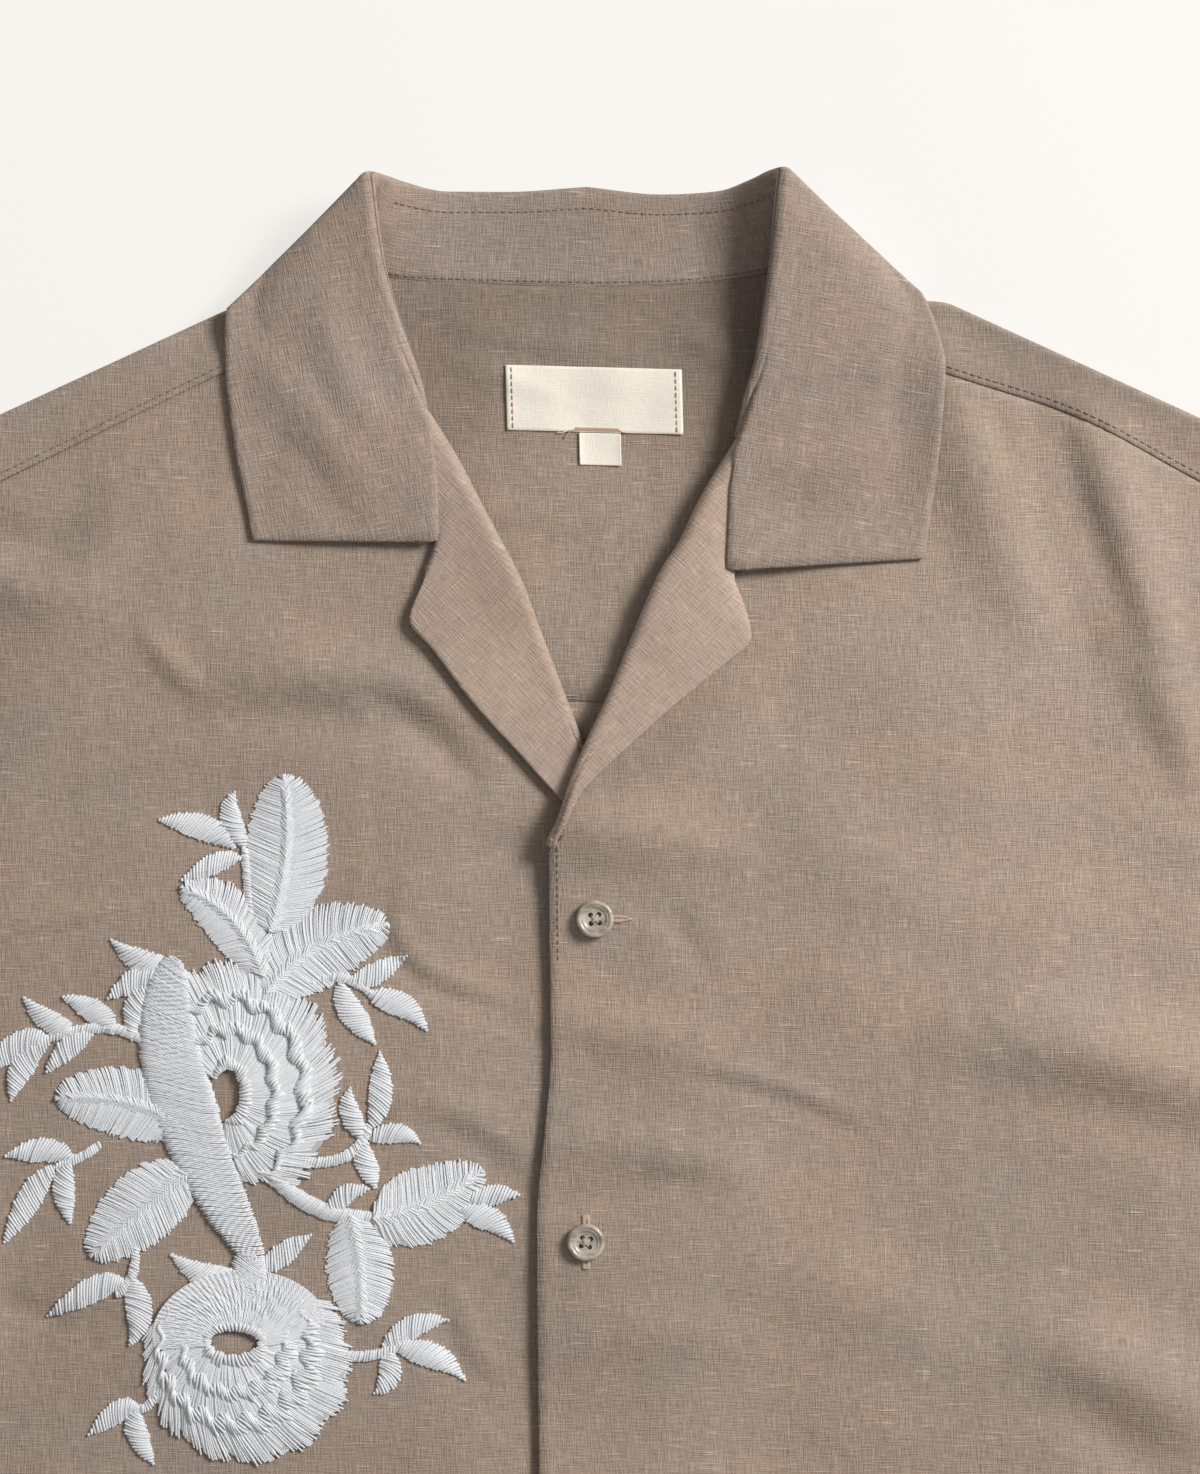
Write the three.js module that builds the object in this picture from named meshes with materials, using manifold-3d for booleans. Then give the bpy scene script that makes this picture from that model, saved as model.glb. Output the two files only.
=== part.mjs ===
// Short-sleeved camp-collar shirt, laid flat on its back with the front buttoned.
// Millimetres, +Z up. The tables give places on the cloth as x, across from the centre
// line, and drop, down from the top of the collar. The origin lies on the surface,
// under the middle of the shirt. Right and left are the wearer's.

import * as THREE from 'three';
import { mergeVertices } from 'three/addons/utils/BufferGeometryUtils.js';
import Module from 'manifold-3d';

const wasm = await Module();
wasm.setup();

// Driving dimensions.
const LENGTH = 745;
const NECK_HALF = 75;
const SHOULDER_HALF = 235;
const UNDERARM_DROP = 338;
const BACK_YOKE_DROP = 166;
const SLEEVE_LENGTH = 245;
const SLEEVE_SLOPE = THREE.MathUtils.degToRad(30);
const CUFF_WIDTH = 185;
const BACK_CLOTH = 1.2;
const FRONT_CLOTH = 1.1;
const YOKE_CLOTH = 1.6;
const COLLAR_CLOTH = 1.8;
const FACING_CLOTH = 1.0;
const SLEEVE_CLOTH = 1.2;
const GAP = 0.3;
const SEAM = GAP / 2;
const FRONT_LEVEL = 2.9;
const COLLAR_UNDERLAY = 2.1;

const LINEN = new THREE.Color(0x9d8a7d);
const LAPEL_LINEN = new THREE.Color(0xb29d8e);
const THREAD_WHITE = new THREE.Color(0xe4e2de);
const LABEL_CREAM = new THREE.Color(0xe8e2d7);
const BUTTON_PEARL = new THREE.Color(0xa79a8e);

const { lerp, smoothstep, clamp } = THREE.MathUtils;
const place = (x, drop, z) => new THREE.Vector3(x, LENGTH / 2 - drop, z);

// A column of a table as a function of another whose values rise.
function reader(rows, from, to) {
  return (at) => {
    const spot = clamp(at, rows[0][from], rows.at(-1)[from]);
    const upper = rows.findIndex((row, i) => i > 0 && row[from] >= spot);
    const [low, high] = [rows[upper - 1], rows[upper]];
    return lerp(low[to], high[to], (spot - low[from]) / (high[from] - low[from]));
  };
}

// Names the columns of a table written as short rows.
const table = (columns, rows) =>
  rows.map((row) => Object.fromEntries(columns.map((column, i) => [column, row[i]])));

// Outer edge of the body: armhole down to the underarm, then the side seam to the hem.
const OUTER_EDGE = table(['drop', 'x'], [
  [97, 235], [123, 233.5], [150, 227.5], [180, 224], [220, 225], [260, 232.5], [280, 240],
  [300, 250], [320, 263], [UNDERARM_DROP, 278], [380, 275.5], [450, 272], [560, 271], [LENGTH, 274],
]);
const outerX = reader(OUTER_EDGE, 'drop', 'x');

// Back neck edge of the yoke.
const backNeckDrop = reader(
  table(['x', 'drop'], [[0, 37], [30, 36.2], [50, 33.8], [62, 31.5], [70, 28.6], [NECK_HALF, 26]]),
  'x', 'drop',
);

// What differs between the two sides: shoulder fold, front yoke seam, front edge and lapel.
// The front edge runs down the neck, the roll line of the lapel and the buttoned edge.
const SIDES = {
  right: {
    sign: -1,
    shoulder: { neck: 26.4, end: 100.2 },
    yokeSeam: table(['x', 'drop'], [[74, 45.5], [111, 62.5], [184, 97.8], [235, 122.6]]),
    frontEdge: table(['drop', 'x'], [
      [45.5, -74], [54, -69.5], [62, -65], [70, -58.5], [77.5, -49.5], [90, -41], [103, -34],
      [115, -27.3], [127, -21], [147, -13.4], [169, -5], [181, -0.5], [200, 5.4], [209, 8.3],
      [217, 11], [234, 13], [LENGTH, 13],
    ]),
    lapel: table(['drop', 'x', 'lapelDrop', 'roll'], [
      [77.5, -46.6, 114.5, 2.1], [90, -46.2, 118, 2], [103, -50.5, 128, 1.9],
      [115, -55.3, 140.6, 1.7], [127, -48.8, 149, 1.5], [147, -36.9, 165, 1.2],
      [169, -21.5, 182, 1], [181, -13.5, 191, 0.8], [200, 0.4, 205.4, 0.75], [209, 4.1, 210.8, 0.7],
    ]),
    level: () => 0,
  },
  left: {
    sign: 1,
    shoulder: { neck: 24.6, end: 97.6 },
    yokeSeam: table(['x', 'drop'], [[74, 48.5], [110.6, 63.8], [147.5, 75.6], [191, 97.5], [235, 120]]),
    frontEdge: table(['drop', 'x'], [
      [48.5, 73.5], [56, 69], [64, 63.5], [74, 55.5], [86, 45.5], [96, 40], [106, 34.5],
      [116, 28.3], [125, 22.5], [147, 13], [165.6, 5.3], [181, -1.9], [194, -6.9], [203, -9.4],
      [212, -11.9], [234, -11.8], [275, -11.3], [328, -15.6], [407, -15], [500, -13.5],
      [620, -14.5], [LENGTH, -13],
    ]),
    lapel: table(['drop', 'x', 'lapelDrop', 'roll'], [
      [86, 44.8, 121, 2.3], [96, 44, 124.4, 2.3], [106, 44.6, 129.5, 2.2], [116, 50.3, 146, 2],
      [125, 43.5, 153.5, 1.8], [147, 28, 168.6, 1.5], [165.6, 15.5, 180.4, 1.2],
      [181, 4.2, 190.6, 1], [194, -3, 197.8, 0.8], [203, -5.8, 204.6, 0.7],
    ]),
    level: (x, drop) => overlapRise(x) + crossingRise(x, drop),
  },
};

// The left front climbs onto the right one along the buttoned edge, and over its lapel.
const OVERLAP = { rise: 2.3, from: 62, to: 18 };
const CROSSING = { rise: 3.6, x: 2, drop: 198, acrossReach: 31, downReach: 30 };
const overlapRise = (x) => OVERLAP.rise * (1 - smoothstep(x, OVERLAP.to, OVERLAP.from));
const bell = (distance, reach) => Math.exp(-((distance / reach) ** 2));
const crossingRise = (x, drop) => CROSSING.rise
  * bell(x - CROSSING.x, CROSSING.acrossReach) * bell(drop - CROSSING.drop, CROSSING.downReach);

const shoulderDrop = (side, x) => {
  const { neck, end } = side.shoulder;
  return lerp(neck, end, (Math.abs(x) - NECK_HALF) / (SHOULDER_HALF - NECK_HALF));
};

// How far the fall of the collar, which lies under the yoke, lifts the layers above it.
const underlay = (x, drop) => COLLAR_UNDERLAY
  * (1 - smoothstep(drop, 60, 92)) * (1 - smoothstep(Math.abs(x), 108, 146));

// Largest soft folds of the laid cloth, as ridges from one place to another.
const FOLDS = table(['x1', 'drop1', 'x2', 'drop2', 'width', 'height'], [
  [140, 70, 168, 150, 13, 3.4],
  [168, 150, 205, 235, 15, 4.2],
  [196, 130, 214, 190, 12, 2.6],
  [120, 262, 205, 250, 17, 3.2],
  [110, 318, 235, 300, 20, 3.6],
  [150, 372, 200, 440, 18, 4],
  [40, 290, 105, 300, 14, 1.6],
  [60, 470, 190, 500, 22, 3],
  [90, 600, 210, 640, 26, 3.2],
  [-95, 152, -62, 160, 11, 2],
  [-190, 110, -150, 165, 15, 2.6],
  [-215, 190, -200, 260, 15, 3],
  [-60, 235, -20, 262, 10, 1.6],
  [-225, 300, -190, 380, 18, 3.2],
  [-200, 470, -60, 520, 22, 3],
  [-215, 640, -80, 600, 26, 3.2],
]);

function foldHeight(x, drop) {
  return FOLDS.reduce((sum, fold) => {
    const [along, down] = [fold.x2 - fold.x1, fold.drop2 - fold.drop1];
    const squared = along ** 2 + down ** 2;
    const t = ((x - fold.x1) * along + (drop - fold.drop1) * down) / squared;
    const reach = clamp(t, 0, 1);
    const distance = Math.hypot(x - fold.x1 - reach * along, drop - fold.drop1 - reach * down);
    return sum + fold.height * bell(distance, fold.width);
  }, 0);
}

// Middle of the front's cloth. It sinks onto the back along the side seams.
const SIDE_SINK = { depth: 0.6, reach: 24 };
function frontLevel(side, x, drop) {
  const inward = outerX(drop) - Math.abs(x);
  const sink = SIDE_SINK.depth * (1 - smoothstep(inward, 0, SIDE_SINK.reach))
    * smoothstep(drop, UNDERARM_DROP - SIDE_SINK.reach, UNDERARM_DROP);
  const folds = foldHeight(x, drop) * smoothstep(inward, 0, 2 * SIDE_SINK.reach);
  return FRONT_LEVEL + underlay(x, drop) + folds + side.level(x, drop) - sink;
}

// Closed wall on a grid of points, half its thickness to each side of a surface lifted off
// the points. Cells without all their corners are left out, and a ring closes its last
// column onto its first. A wall on part of the grid keeps the normals of the whole.
function wall(points, thickness, { ring = false, lift = 0, flip = false, from = 0 } = {}) {
  const columns = points[0].length;
  const cells = [];
  for (let i = 0; i < points.length - 1; i += 1) {
    for (let j = 0; j < (ring ? columns : columns - 1); j += 1) {
      const next = (j + 1) % columns;
      const corners = [[i, j], [i, next], [i + 1, next], [i + 1, j]];
      if (corners.every(([r, c]) => points[r][c])) cells.push(flip ? corners.reverse() : corners);
    }
  }
  const key = ([r, c]) => r * columns + c;
  const normals = new Map();
  for (const corners of cells) {
    const [a, b, c, d] = corners.map(([r, k]) => points[r][k]);
    const normal = c.clone().sub(a).cross(d.clone().sub(b)).normalize();
    for (const corner of corners) {
      const sum = normals.get(key(corner)) ?? new THREE.Vector3();
      normals.set(key(corner), sum.add(normal));
    }
  }
  const kept = cells.filter((corners) => corners.every(([, column]) => column >= from));
  const moved = (corner, offset) => {
    const normal = normals.get(key(corner)).clone().normalize();
    return points[corner[0]][corner[1]].clone().addScaledVector(normal, offset);
  };
  return closedShell(
    kept, key,
    (corner) => moved(corner, lift + thickness / 2),
    (corner) => moved(corner, lift - thickness / 2),
  );
}

// Closed geometry of four-cornered cells: an upper and a lower skin joined round the rim.
function closedShell(cells, key, upper, lower) {
  const index = new Map();
  const positions = [];
  for (const corner of cells.flat()) {
    if (index.has(key(corner))) continue;
    index.set(key(corner), positions.length / 3);
    positions.push(...upper(corner).toArray(), ...lower(corner).toArray());
  }
  const triangles = [];
  const edges = new Map();
  for (const corners of cells) {
    const [a, b, c, d] = corners.map((corner) => index.get(key(corner)));
    triangles.push([a, b, c], [a, c, d], [a + 1, c + 1, b + 1], [a + 1, d + 1, c + 1]);
    for (const [start, end] of [[a, b], [b, c], [c, d], [d, a]]) {
      if (!edges.delete(`${end},${start}`)) edges.set(`${start},${end}`, [start, end]);
    }
  }
  for (const [start, end] of edges.values()) {
    triangles.push([start, start + 1, end + 1], [start, end + 1, end]);
  }
  const geometry = new THREE.BufferGeometry();
  geometry.setAttribute('position', new THREE.Float32BufferAttribute(positions, 3));
  geometry.setIndex(triangles.flat());
  return geometry;
}

const range = (count) => Array.from({ length: count + 1 }, (_, i) => i / count);

const shirt = new THREE.Group();

function addPiece(name, geometry, color, roughness = 0.9) {
  const material = new THREE.MeshStandardMaterial({ color, roughness, metalness: 0 });
  const mesh = new THREE.Mesh(geometry, material);
  mesh.name = name;
  shirt.add(mesh);
  return mesh;
}

// Back panel, flat on the surface.
const BACK_DROPS = [
  BACK_YOKE_DROP + SEAM, 180, 220, 260, 280, 300, 320, UNDERARM_DROP, 380, 450, 505, 560, 650, LENGTH,
];
const backGrid = BACK_DROPS.map((drop) => range(8).map((t) => {
  const half = outerX(drop) - GAP;
  return place(lerp(half, -half, t), drop, BACK_CLOTH / 2);
}));
addPiece('back_panel', wall(backGrid, BACK_CLOTH), LINEN);

// Yoke: its back part, the turn over each shoulder and its front part, in one.
const YOKE_HALF_COLUMNS = [0, 15, 30, 45, 55, 64, 70, NECK_HALF, 82, 92, 104, 118, 134, 154, 180, 208, 235];
const YOKE_COLUMNS = [...YOKE_HALF_COLUMNS.slice(1).reverse(), ...YOKE_HALF_COLUMNS.map((x) => -x)];
const YOKE_TURN = { low: YOKE_CLOTH / 2, high: FRONT_LEVEL, steps: 4 };
const COLLAR_WRAP = 3.8;

function yokeColumn(column) {
  const side = column < 0 ? SIDES.right : SIDES.left;
  const half = Math.abs(column);
  const seamDrop = reader(side.yokeSeam, 'x', 'drop')(half) - GAP;
  const wrapped = half >= NECK_HALF;
  const radius = (YOKE_TURN.high - YOKE_TURN.low) / 2;
  const tuck = COLLAR_WRAP * (1 - smoothstep(half, 112, 130));
  const top = wrapped ? shoulderDrop(side, half) + radius + YOKE_CLOTH / 2 + tuck : backNeckDrop(half);
  const across = (drop) => {
    const share = Math.max(half - NECK_HALF, 0) / (SHOULDER_HALF - NECK_HALF);
    return Math.sign(column) * (half + (outerX(drop) - GAP - SHOULDER_HALF) * share);
  };
  const onBack = range(7).map((t) => {
    const drop = lerp(BACK_YOKE_DROP - SEAM, top, t ** 0.8);
    return place(across(drop), drop, YOKE_TURN.low + underlay(column, drop));
  });
  const turn = range(YOKE_TURN.steps).slice(1).map((t) => {
    const angle = t * Math.PI;
    const drop = top - radius * Math.sin(angle);
    const z = YOKE_TURN.low + radius * (1 - Math.cos(angle)) + underlay(column, drop);
    return wrapped ? place(across(drop), drop, z) : null;
  });
  const onFront = range(3).slice(1).map((t) => {
    const drop = lerp(top, seamDrop, t);
    return wrapped ? place(across(drop), drop, YOKE_TURN.high + underlay(column, drop)) : null;
  });
  return [...onBack, ...turn, ...onFront];
}
const transpose = (grid) => grid[0].map((_, j) => grid.map((row) => row[j]));
const yoke = addPiece('yoke', wall(transpose(YOKE_COLUMNS.map(yokeColumn)), YOKE_CLOTH), LINEN);

// A front: rows from the armhole or side to the front edge, slanting with the yoke seam
// at the top, then round the roll line and out over the lapel's underside.
const FRONT_COLUMNS = 10;
const ROLL_STEPS = 4;
const LAPEL_STEPS = 4;
const LOWER_DROPS = [234, 256, 278, 298, 318, UNDERARM_DROP, 370, 407, 450, 500, 560, 620, 680, LENGTH];
const LAPEL_STACK = FRONT_CLOTH / 2 + GAP + FACING_CLOTH;
const LAPEL_REST = 0.75;

function frontRow(side, drop) {
  const top = side.frontEdge[0].drop;
  const seam = reader(side.yokeSeam, 'x', 'drop');
  const share = clamp((drop - top) / (UNDERARM_DROP - top), 0, 1);
  const outerDrop = drop + (seam(SHOULDER_HALF) - top) * (1 - smoothstep(share, 0, 1));
  const inner = reader(side.frontEdge, 'drop', 'x')(drop);
  const outer = side.sign * (outerX(outerDrop) - GAP);
  const straight = (x) => lerp(seam(SHOULDER_HALF), top, (SHOULDER_HALF - x) / (SHOULDER_HALF - 74));
  const bow = (x) => (seam(x) - straight(x)) * (1 - smoothstep(drop, top, top + 90));
  return (t, edge = { x: inner, drop }) => {
    const x = lerp(outer, edge.x, t);
    const along = lerp(outerDrop, edge.drop, t) + bow(clamp(Math.abs(x), 74, SHOULDER_HALF));
    return { x, drop: along };
  };
}

// Where the lapel leaves the roll line, its middle, and the way across that line.
function rollAt(side, row) {
  const edge = reader(side.frontEdge, 'drop', 'x');
  const step = 6;
  const [dx, dd] = [edge(row.drop + step) - edge(row.drop), step];
  const length = Math.hypot(dx, dd);
  const across = { x: side.sign * dd / length, drop: -side.sign * dx / length };
  const inset = row.roll + LAPEL_STACK;
  const centre = { x: edge(row.drop) + across.x * inset, drop: row.drop + across.drop * inset };
  return { across, centre, level: frontLevel(side, centre.x, centre.drop) };
}

function lapelPoints(side, row) {
  const { across, centre, level } = rollAt(side, row);
  const turn = range(ROLL_STEPS).slice(1).map((t) => {
    const angle = t * Math.PI;
    const out = -row.roll * Math.sin(angle);
    const z = level + row.roll * (1 - Math.cos(angle));
    return place(centre.x + across.x * out, centre.drop + across.drop * out, z);
  });
  const leaf = range(LAPEL_STEPS).slice(1).map((t) => {
    const x = lerp(centre.x, row.x, t);
    const drop = lerp(centre.drop, row.lapelDrop, t);
    const rest = frontLevel(side, x, drop) + FRONT_CLOTH + GAP + LAPEL_REST;
    return place(x, drop, Math.max(rest, lerp(level + 2 * row.roll, rest, t)));
  });
  return [...turn, ...leaf];
}

function front(side) {
  const edges = side.frontEdge.filter((row) => row.drop < LOWER_DROPS[0]).map((row) => row.drop);
  const drops = [...edges, ...LOWER_DROPS];
  return drops.map((drop) => {
    const onRow = frontRow(side, drop);
    const lapel = side.lapel.find((row) => row.drop === drop);
    const edge = lapel && rollAt(side, lapel).centre;
    const body = range(FRONT_COLUMNS).map((t) => {
      const spot = onRow(t, edge);
      return place(spot.x, spot.drop, frontLevel(side, spot.x, spot.drop));
    });
    const turned = lapel ? lapelPoints(side, lapel) : Array(ROLL_STEPS + LAPEL_STEPS).fill(null);
    return [...body, ...turned];
  });
}

// Facings, where the lapels show them: they follow the lapel from the roll line outwards.
const FACING_LIFT = -(FRONT_CLOTH / 2 + GAP + FACING_CLOTH / 2);
const FACING_FROM = FRONT_COLUMNS + 2;
const fronts = {};
for (const [name, side] of Object.entries(SIDES)) {
  const grid = front(side);
  const flip = side.sign < 0;
  fronts[name] = addPiece(`front_${name}`, wall(grid, FRONT_CLOTH, { flip }), LINEN);
  const options = { flip, lift: FACING_LIFT, from: FACING_FROM };
  addPiece(`facing_${name}`, wall(grid, FACING_CLOTH, options), LAPEL_LINEN);
}

// Collar, one wall from the neck seam up the stand, round the roll and down the leaf. Its
// stations run from the lapel's gorge seam round the neck to the middle of the back. From the
// wrap on, where it bends over the shoulder fold, the leaf lies under the yoke.
const STATION_COLUMNS = [
  'neckX', 'neckDrop', 'neckZ', 'rollX', 'rollDrop', 'rollZ', 'leafX', 'leafDrop', 'leafZ', 'turn', 'notch',
];
const BACK_STATION = [0, 36.6, 2.9, -0.5, 6.2, 2, 0, 59, 0.9, 1.1, 0];
const COLLAR_SIDES = {
  right: {
    side: SIDES.right,
    gorge: [
      [0, -50.2, 76.2, 8.6], [0.08, -55.2, 79.6, 9.2], [0.42, -48.2, 114.2, 6], [1, -104.1, 115.6, 5.2],
    ],
    stations: table(STATION_COLUMNS, [
      [-51.6, 75.2, 4, -50.2, 76.2, 8.6, -104.1, 115.6, 5.2, 1.6, 1],
      [-57.4, 70, 4.4, -52.3, 66.5, 9.4, -106.2, 104, 5.2, 1.8, 0.5],
      [-63.2, 62, 4.9, -56.8, 54, 10.4, -108.8, 92, 5.4, 2, 0.25],
      [-68, 53, 5, -61, 41.5, 11.6, -110.8, 78, 5.8, 2, 0.1],
      [-70.6, 42, 5, -64.4, 28.5, 13.6, -112.3, 64, 6.6, 2, 0],
      [-72.6, 33, 4.8, -66.5, 14, 17, -112.4, 53, 7, 2, 0],
      [-72.6, 26.4, 3.9, -67.6, 3.4, 20.5, -111.8, 44, 3.8, 1.9, 0],
      [-71.2, 25.6, 3.7, -66.4, 3, 19.4, -109.4, 45.4, 1.1, 1.8, 0],
      [-68.8, 27, 3.2, -63.3, 3.6, 16, -101, 48, 0.9, 1.7, 0],
      [-60, 31.2, 2.9, -56, 5.6, 9, -82, 53, 0.9, 1.4, 0],
      [-45, 34, 2.9, -44, 7.8, 4.2, -58, 56.5, 0.9, 1.2, 0],
      [-25, 35.9, 2.9, -25, 7.8, 2.2, -30, 58.6, 0.9, 1.1, 0],
      BACK_STATION,
    ]),
  },
  left: {
    side: SIDES.left,
    gorge: [
      [0, 46.6, 84.4, 8.9], [0.08, 51.6, 87.8, 9.6], [0.42, 45.2, 122.4, 6], [1, 104.4, 121.3, 5.2],
    ],
    stations: table(STATION_COLUMNS, [
      [46.6, 82.4, 4, 46.6, 84.4, 8.9, 104.4, 121.3, 5.2, 1.6, 1],
      [52.8, 74.8, 4.4, 49, 72.5, 9.7, 106.2, 108, 5.2, 1.8, 0.5],
      [59.8, 66, 4.9, 52.6, 60, 10.6, 108.3, 93, 5.4, 2, 0.25],
      [66.4, 55.4, 5, 55.4, 43, 11.8, 109.8, 78, 5.8, 2, 0.1],
      [70.6, 44, 5, 57.6, 27, 14, 110.6, 62, 6.6, 2, 0],
      [72.4, 33, 4.8, 59.2, 12.5, 17.5, 108.5, 48.5, 7, 2, 0],
      [72.6, 25.6, 3.9, 60.9, 1.2, 21, 106, 39.4, 3.8, 1.9, 0],
      [71.2, 25.2, 3.7, 59.8, 1, 20, 103.6, 41, 1.1, 1.8, 0],
      [68.6, 27, 3.2, 56.5, 2.2, 16.4, 96, 45, 0.9, 1.7, 0],
      [59, 31.4, 2.9, 50, 4.8, 9.2, 80, 51, 0.9, 1.4, 0],
      [44, 34.1, 2.9, 40, 7.8, 4.2, 56, 56, 0.9, 1.2, 0],
      [24, 36, 2.9, 22.5, 8.6, 2.2, 30, 58.4, 0.9, 1.1, 0],
      BACK_STATION,
    ]),
  },
};
const WRAP_STATION = 6;
const COLLAR_STEPS = { stand: 2, turn: 4, leaf: [0.08, 0.25, 0.42, 0.6, 0.8, 1], between: 2 };
const TURN_REACH = THREE.MathUtils.degToRad(82);
const UNDER_DROOP = 7;
const WRAP_DROOP = 1.6;

// A station between two rows of the table, by a smooth curve through all of them.
function stationReader(stations) {
  const curve = (x, drop, z) => new THREE.CatmullRomCurve3(
    stations.map((row) => new THREE.Vector3(row[x], row[drop], row[z])), false, 'centripetal',
  );
  const [neck, roll, leaf] = ['neck', 'roll', 'leaf']
    .map((part) => curve(`${part}X`, `${part}Drop`, `${part}Z`));
  const last = stations.length - 1;
  const numbered = stations.map((row, at) => ({ ...row, at }));
  const [turn, notch] = ['turn', 'notch'].map((column) => reader(numbered, 'at', column));
  return (at) => ({
    at,
    neck: neck.getPoint(at / last),
    roll: roll.getPoint(at / last),
    leaf: leaf.getPoint(at / last),
    turn: turn(at),
    notch: notch(at),
  });
}

const gorgeReaders = (gorge) => ['x', 'drop', 'z']
  .map((column) => reader(table(['t', 'x', 'drop', 'z'], gorge), 't', column));

function collarSection({ side, stations, gorge }, station) {
  const { neck, roll, leaf, turn, notch, at } = station;
  const up = roll.clone().sub(neck).normalize();
  const out = leaf.clone().sub(roll).normalize();
  const apex = up.clone().sub(out).normalize();
  const over = up.clone().add(out).normalize();
  const centre = roll.clone().addScaledVector(apex, -turn);
  const onTurn = range(COLLAR_STEPS.turn).map((t) => {
    const angle = lerp(-TURN_REACH, TURN_REACH, t);
    return centre.clone()
      .addScaledVector(apex, turn * Math.cos(angle)).addScaledVector(over, turn * Math.sin(angle));
  });
  const onStand = range(COLLAR_STEPS.stand).slice(0, -1)
    .map((t) => neck.clone().lerp(onTurn[0], t));
  const end = stations[0];
  const gorgeAt = gorgeReaders(gorge);
  const droop = lerp(1, at > WRAP_STATION ? UNDER_DROOP : WRAP_DROOP, clamp(at - WRAP_STATION + 1, 0, 1));
  const start = onTurn.at(-1);
  const onLeaf = COLLAR_STEPS.leaf.map((t) => {
    const straight = start.clone().lerp(leaf, t);
    const edge = new THREE.Vector3(...gorgeAt.map((read) => read(t)));
    const chord = new THREE.Vector3(end.rollX, end.rollDrop, end.rollZ)
      .lerp(new THREE.Vector3(end.leafX, end.leafDrop, end.leafZ), t);
    const point = straight.addScaledVector(edge.sub(chord), notch);
    const drooped = Math.max(leaf.z + (start.z - leaf.z) * (1 - t) ** droop, COLLAR_CLOTH / 2);
    const onTop = at < WRAP_STATION;
    const z = onTop ? Math.max(point.z, leafRest(side, point.x, point.y)) : drooped;
    return new THREE.Vector3(point.x, point.y, z);
  });
  return [...onStand, ...onTurn, ...onLeaf].map((point) => place(point.x, point.y, point.z));
}

// Lowest level of the leaf's middle over the front and the yoke's turn.
const leafRest = (side, x, drop) => frontLevel(side, x, drop) + YOKE_CLOTH / 2 + GAP + COLLAR_CLOTH / 2;

function collarHalf(half) {
  const last = half.stations.length - 1;
  const read = stationReader(half.stations);
  return range(last * COLLAR_STEPS.between).map((t) => collarSection(half, read(t * last)));
}
const collarGrid = [
  ...collarHalf(COLLAR_SIDES.right),
  ...collarHalf(COLLAR_SIDES.left).reverse().slice(1),
];
addPiece('collar', wall(collarGrid, COLLAR_CLOTH), LINEN);

// Sleeves: flattened tubes from the armhole to the cuff, open at both ends.
const SLEEVE_ROWS = 6;
const SLEEVE_EDGE = 0.01;
const ARMHOLE_DROPS = [320, 300, 280, 260, 220, 180, 150, 123];
const ARMHOLE_EASE = 0.7;
const SLEEVE_LEVEL = { low: SLEEVE_CLOTH / 2, high: FRONT_LEVEL };
const SLEEVE_FOLD = { along: 0.45, reach: 0.22, around: 0.5, spread: 0.3, height: 3.5 };

function sleeve(side) {
  const top = side.shoulder.end;
  const slope = { x: Math.cos(SLEEVE_SLOPE), drop: Math.sin(SLEEVE_SLOPE) };
  const cuffTop = { x: SHOULDER_HALF + SLEEVE_LENGTH * slope.x, drop: top + SLEEVE_LENGTH * slope.drop };
  const spot = (along, around) => {
    const drop = lerp(UNDERARM_DROP, top, around);
    const cuffDown = CUFF_WIDTH * (1 - around);
    const x = lerp(outerX(drop) + ARMHOLE_EASE, cuffTop.x - cuffDown * slope.drop, along);
    return { x: side.sign * x, drop: lerp(drop, cuffTop.drop + cuffDown * slope.x, along) };
  };
  const middle = (SLEEVE_LEVEL.low + SLEEVE_LEVEL.high) / 2;
  const rounds = ARMHOLE_DROPS.map((drop) => (UNDERARM_DROP - drop) / (UNDERARM_DROP - top));
  const sleeveRound = [0, SLEEVE_EDGE, ...rounds, 1 - SLEEVE_EDGE, 1];
  return range(SLEEVE_ROWS).map((along) => {
    const under = sleeveRound.map((around) => {
      const { x, drop } = spot(along, around);
      return place(x, drop, around % 1 ? SLEEVE_LEVEL.low : middle);
    });
    const over = sleeveRound.slice(1, -1).reverse().map((around) => {
      const { x, drop } = spot(along, around);
      const fold = SLEEVE_FOLD.height * bell(along - SLEEVE_FOLD.along, SLEEVE_FOLD.reach)
        * bell(around - SLEEVE_FOLD.around, SLEEVE_FOLD.spread);
      return place(x, drop, SLEEVE_LEVEL.high + fold);
    });
    return [...under, ...over];
  });
}
for (const [name, side] of Object.entries(SIDES)) {
  const options = { ring: true, flip: side.sign > 0 };
  addPiece(`sleeve_${name}`, wall(sleeve(side), SLEEVE_CLOTH, options), LINEN);
}

// Top of a piece at a place, found by looking straight down on it.
const LOOK_FROM = 100;
function topOf(mesh) {
  mesh.updateMatrixWorld(true);
  const looker = new THREE.Raycaster();
  const down = new THREE.Vector3(0, 0, -1);
  return (x, y) => {
    looker.set(new THREE.Vector3(x, y, LOOK_FROM), down);
    return looker.intersectObject(mesh)[0].point.z;
  };
}

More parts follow.
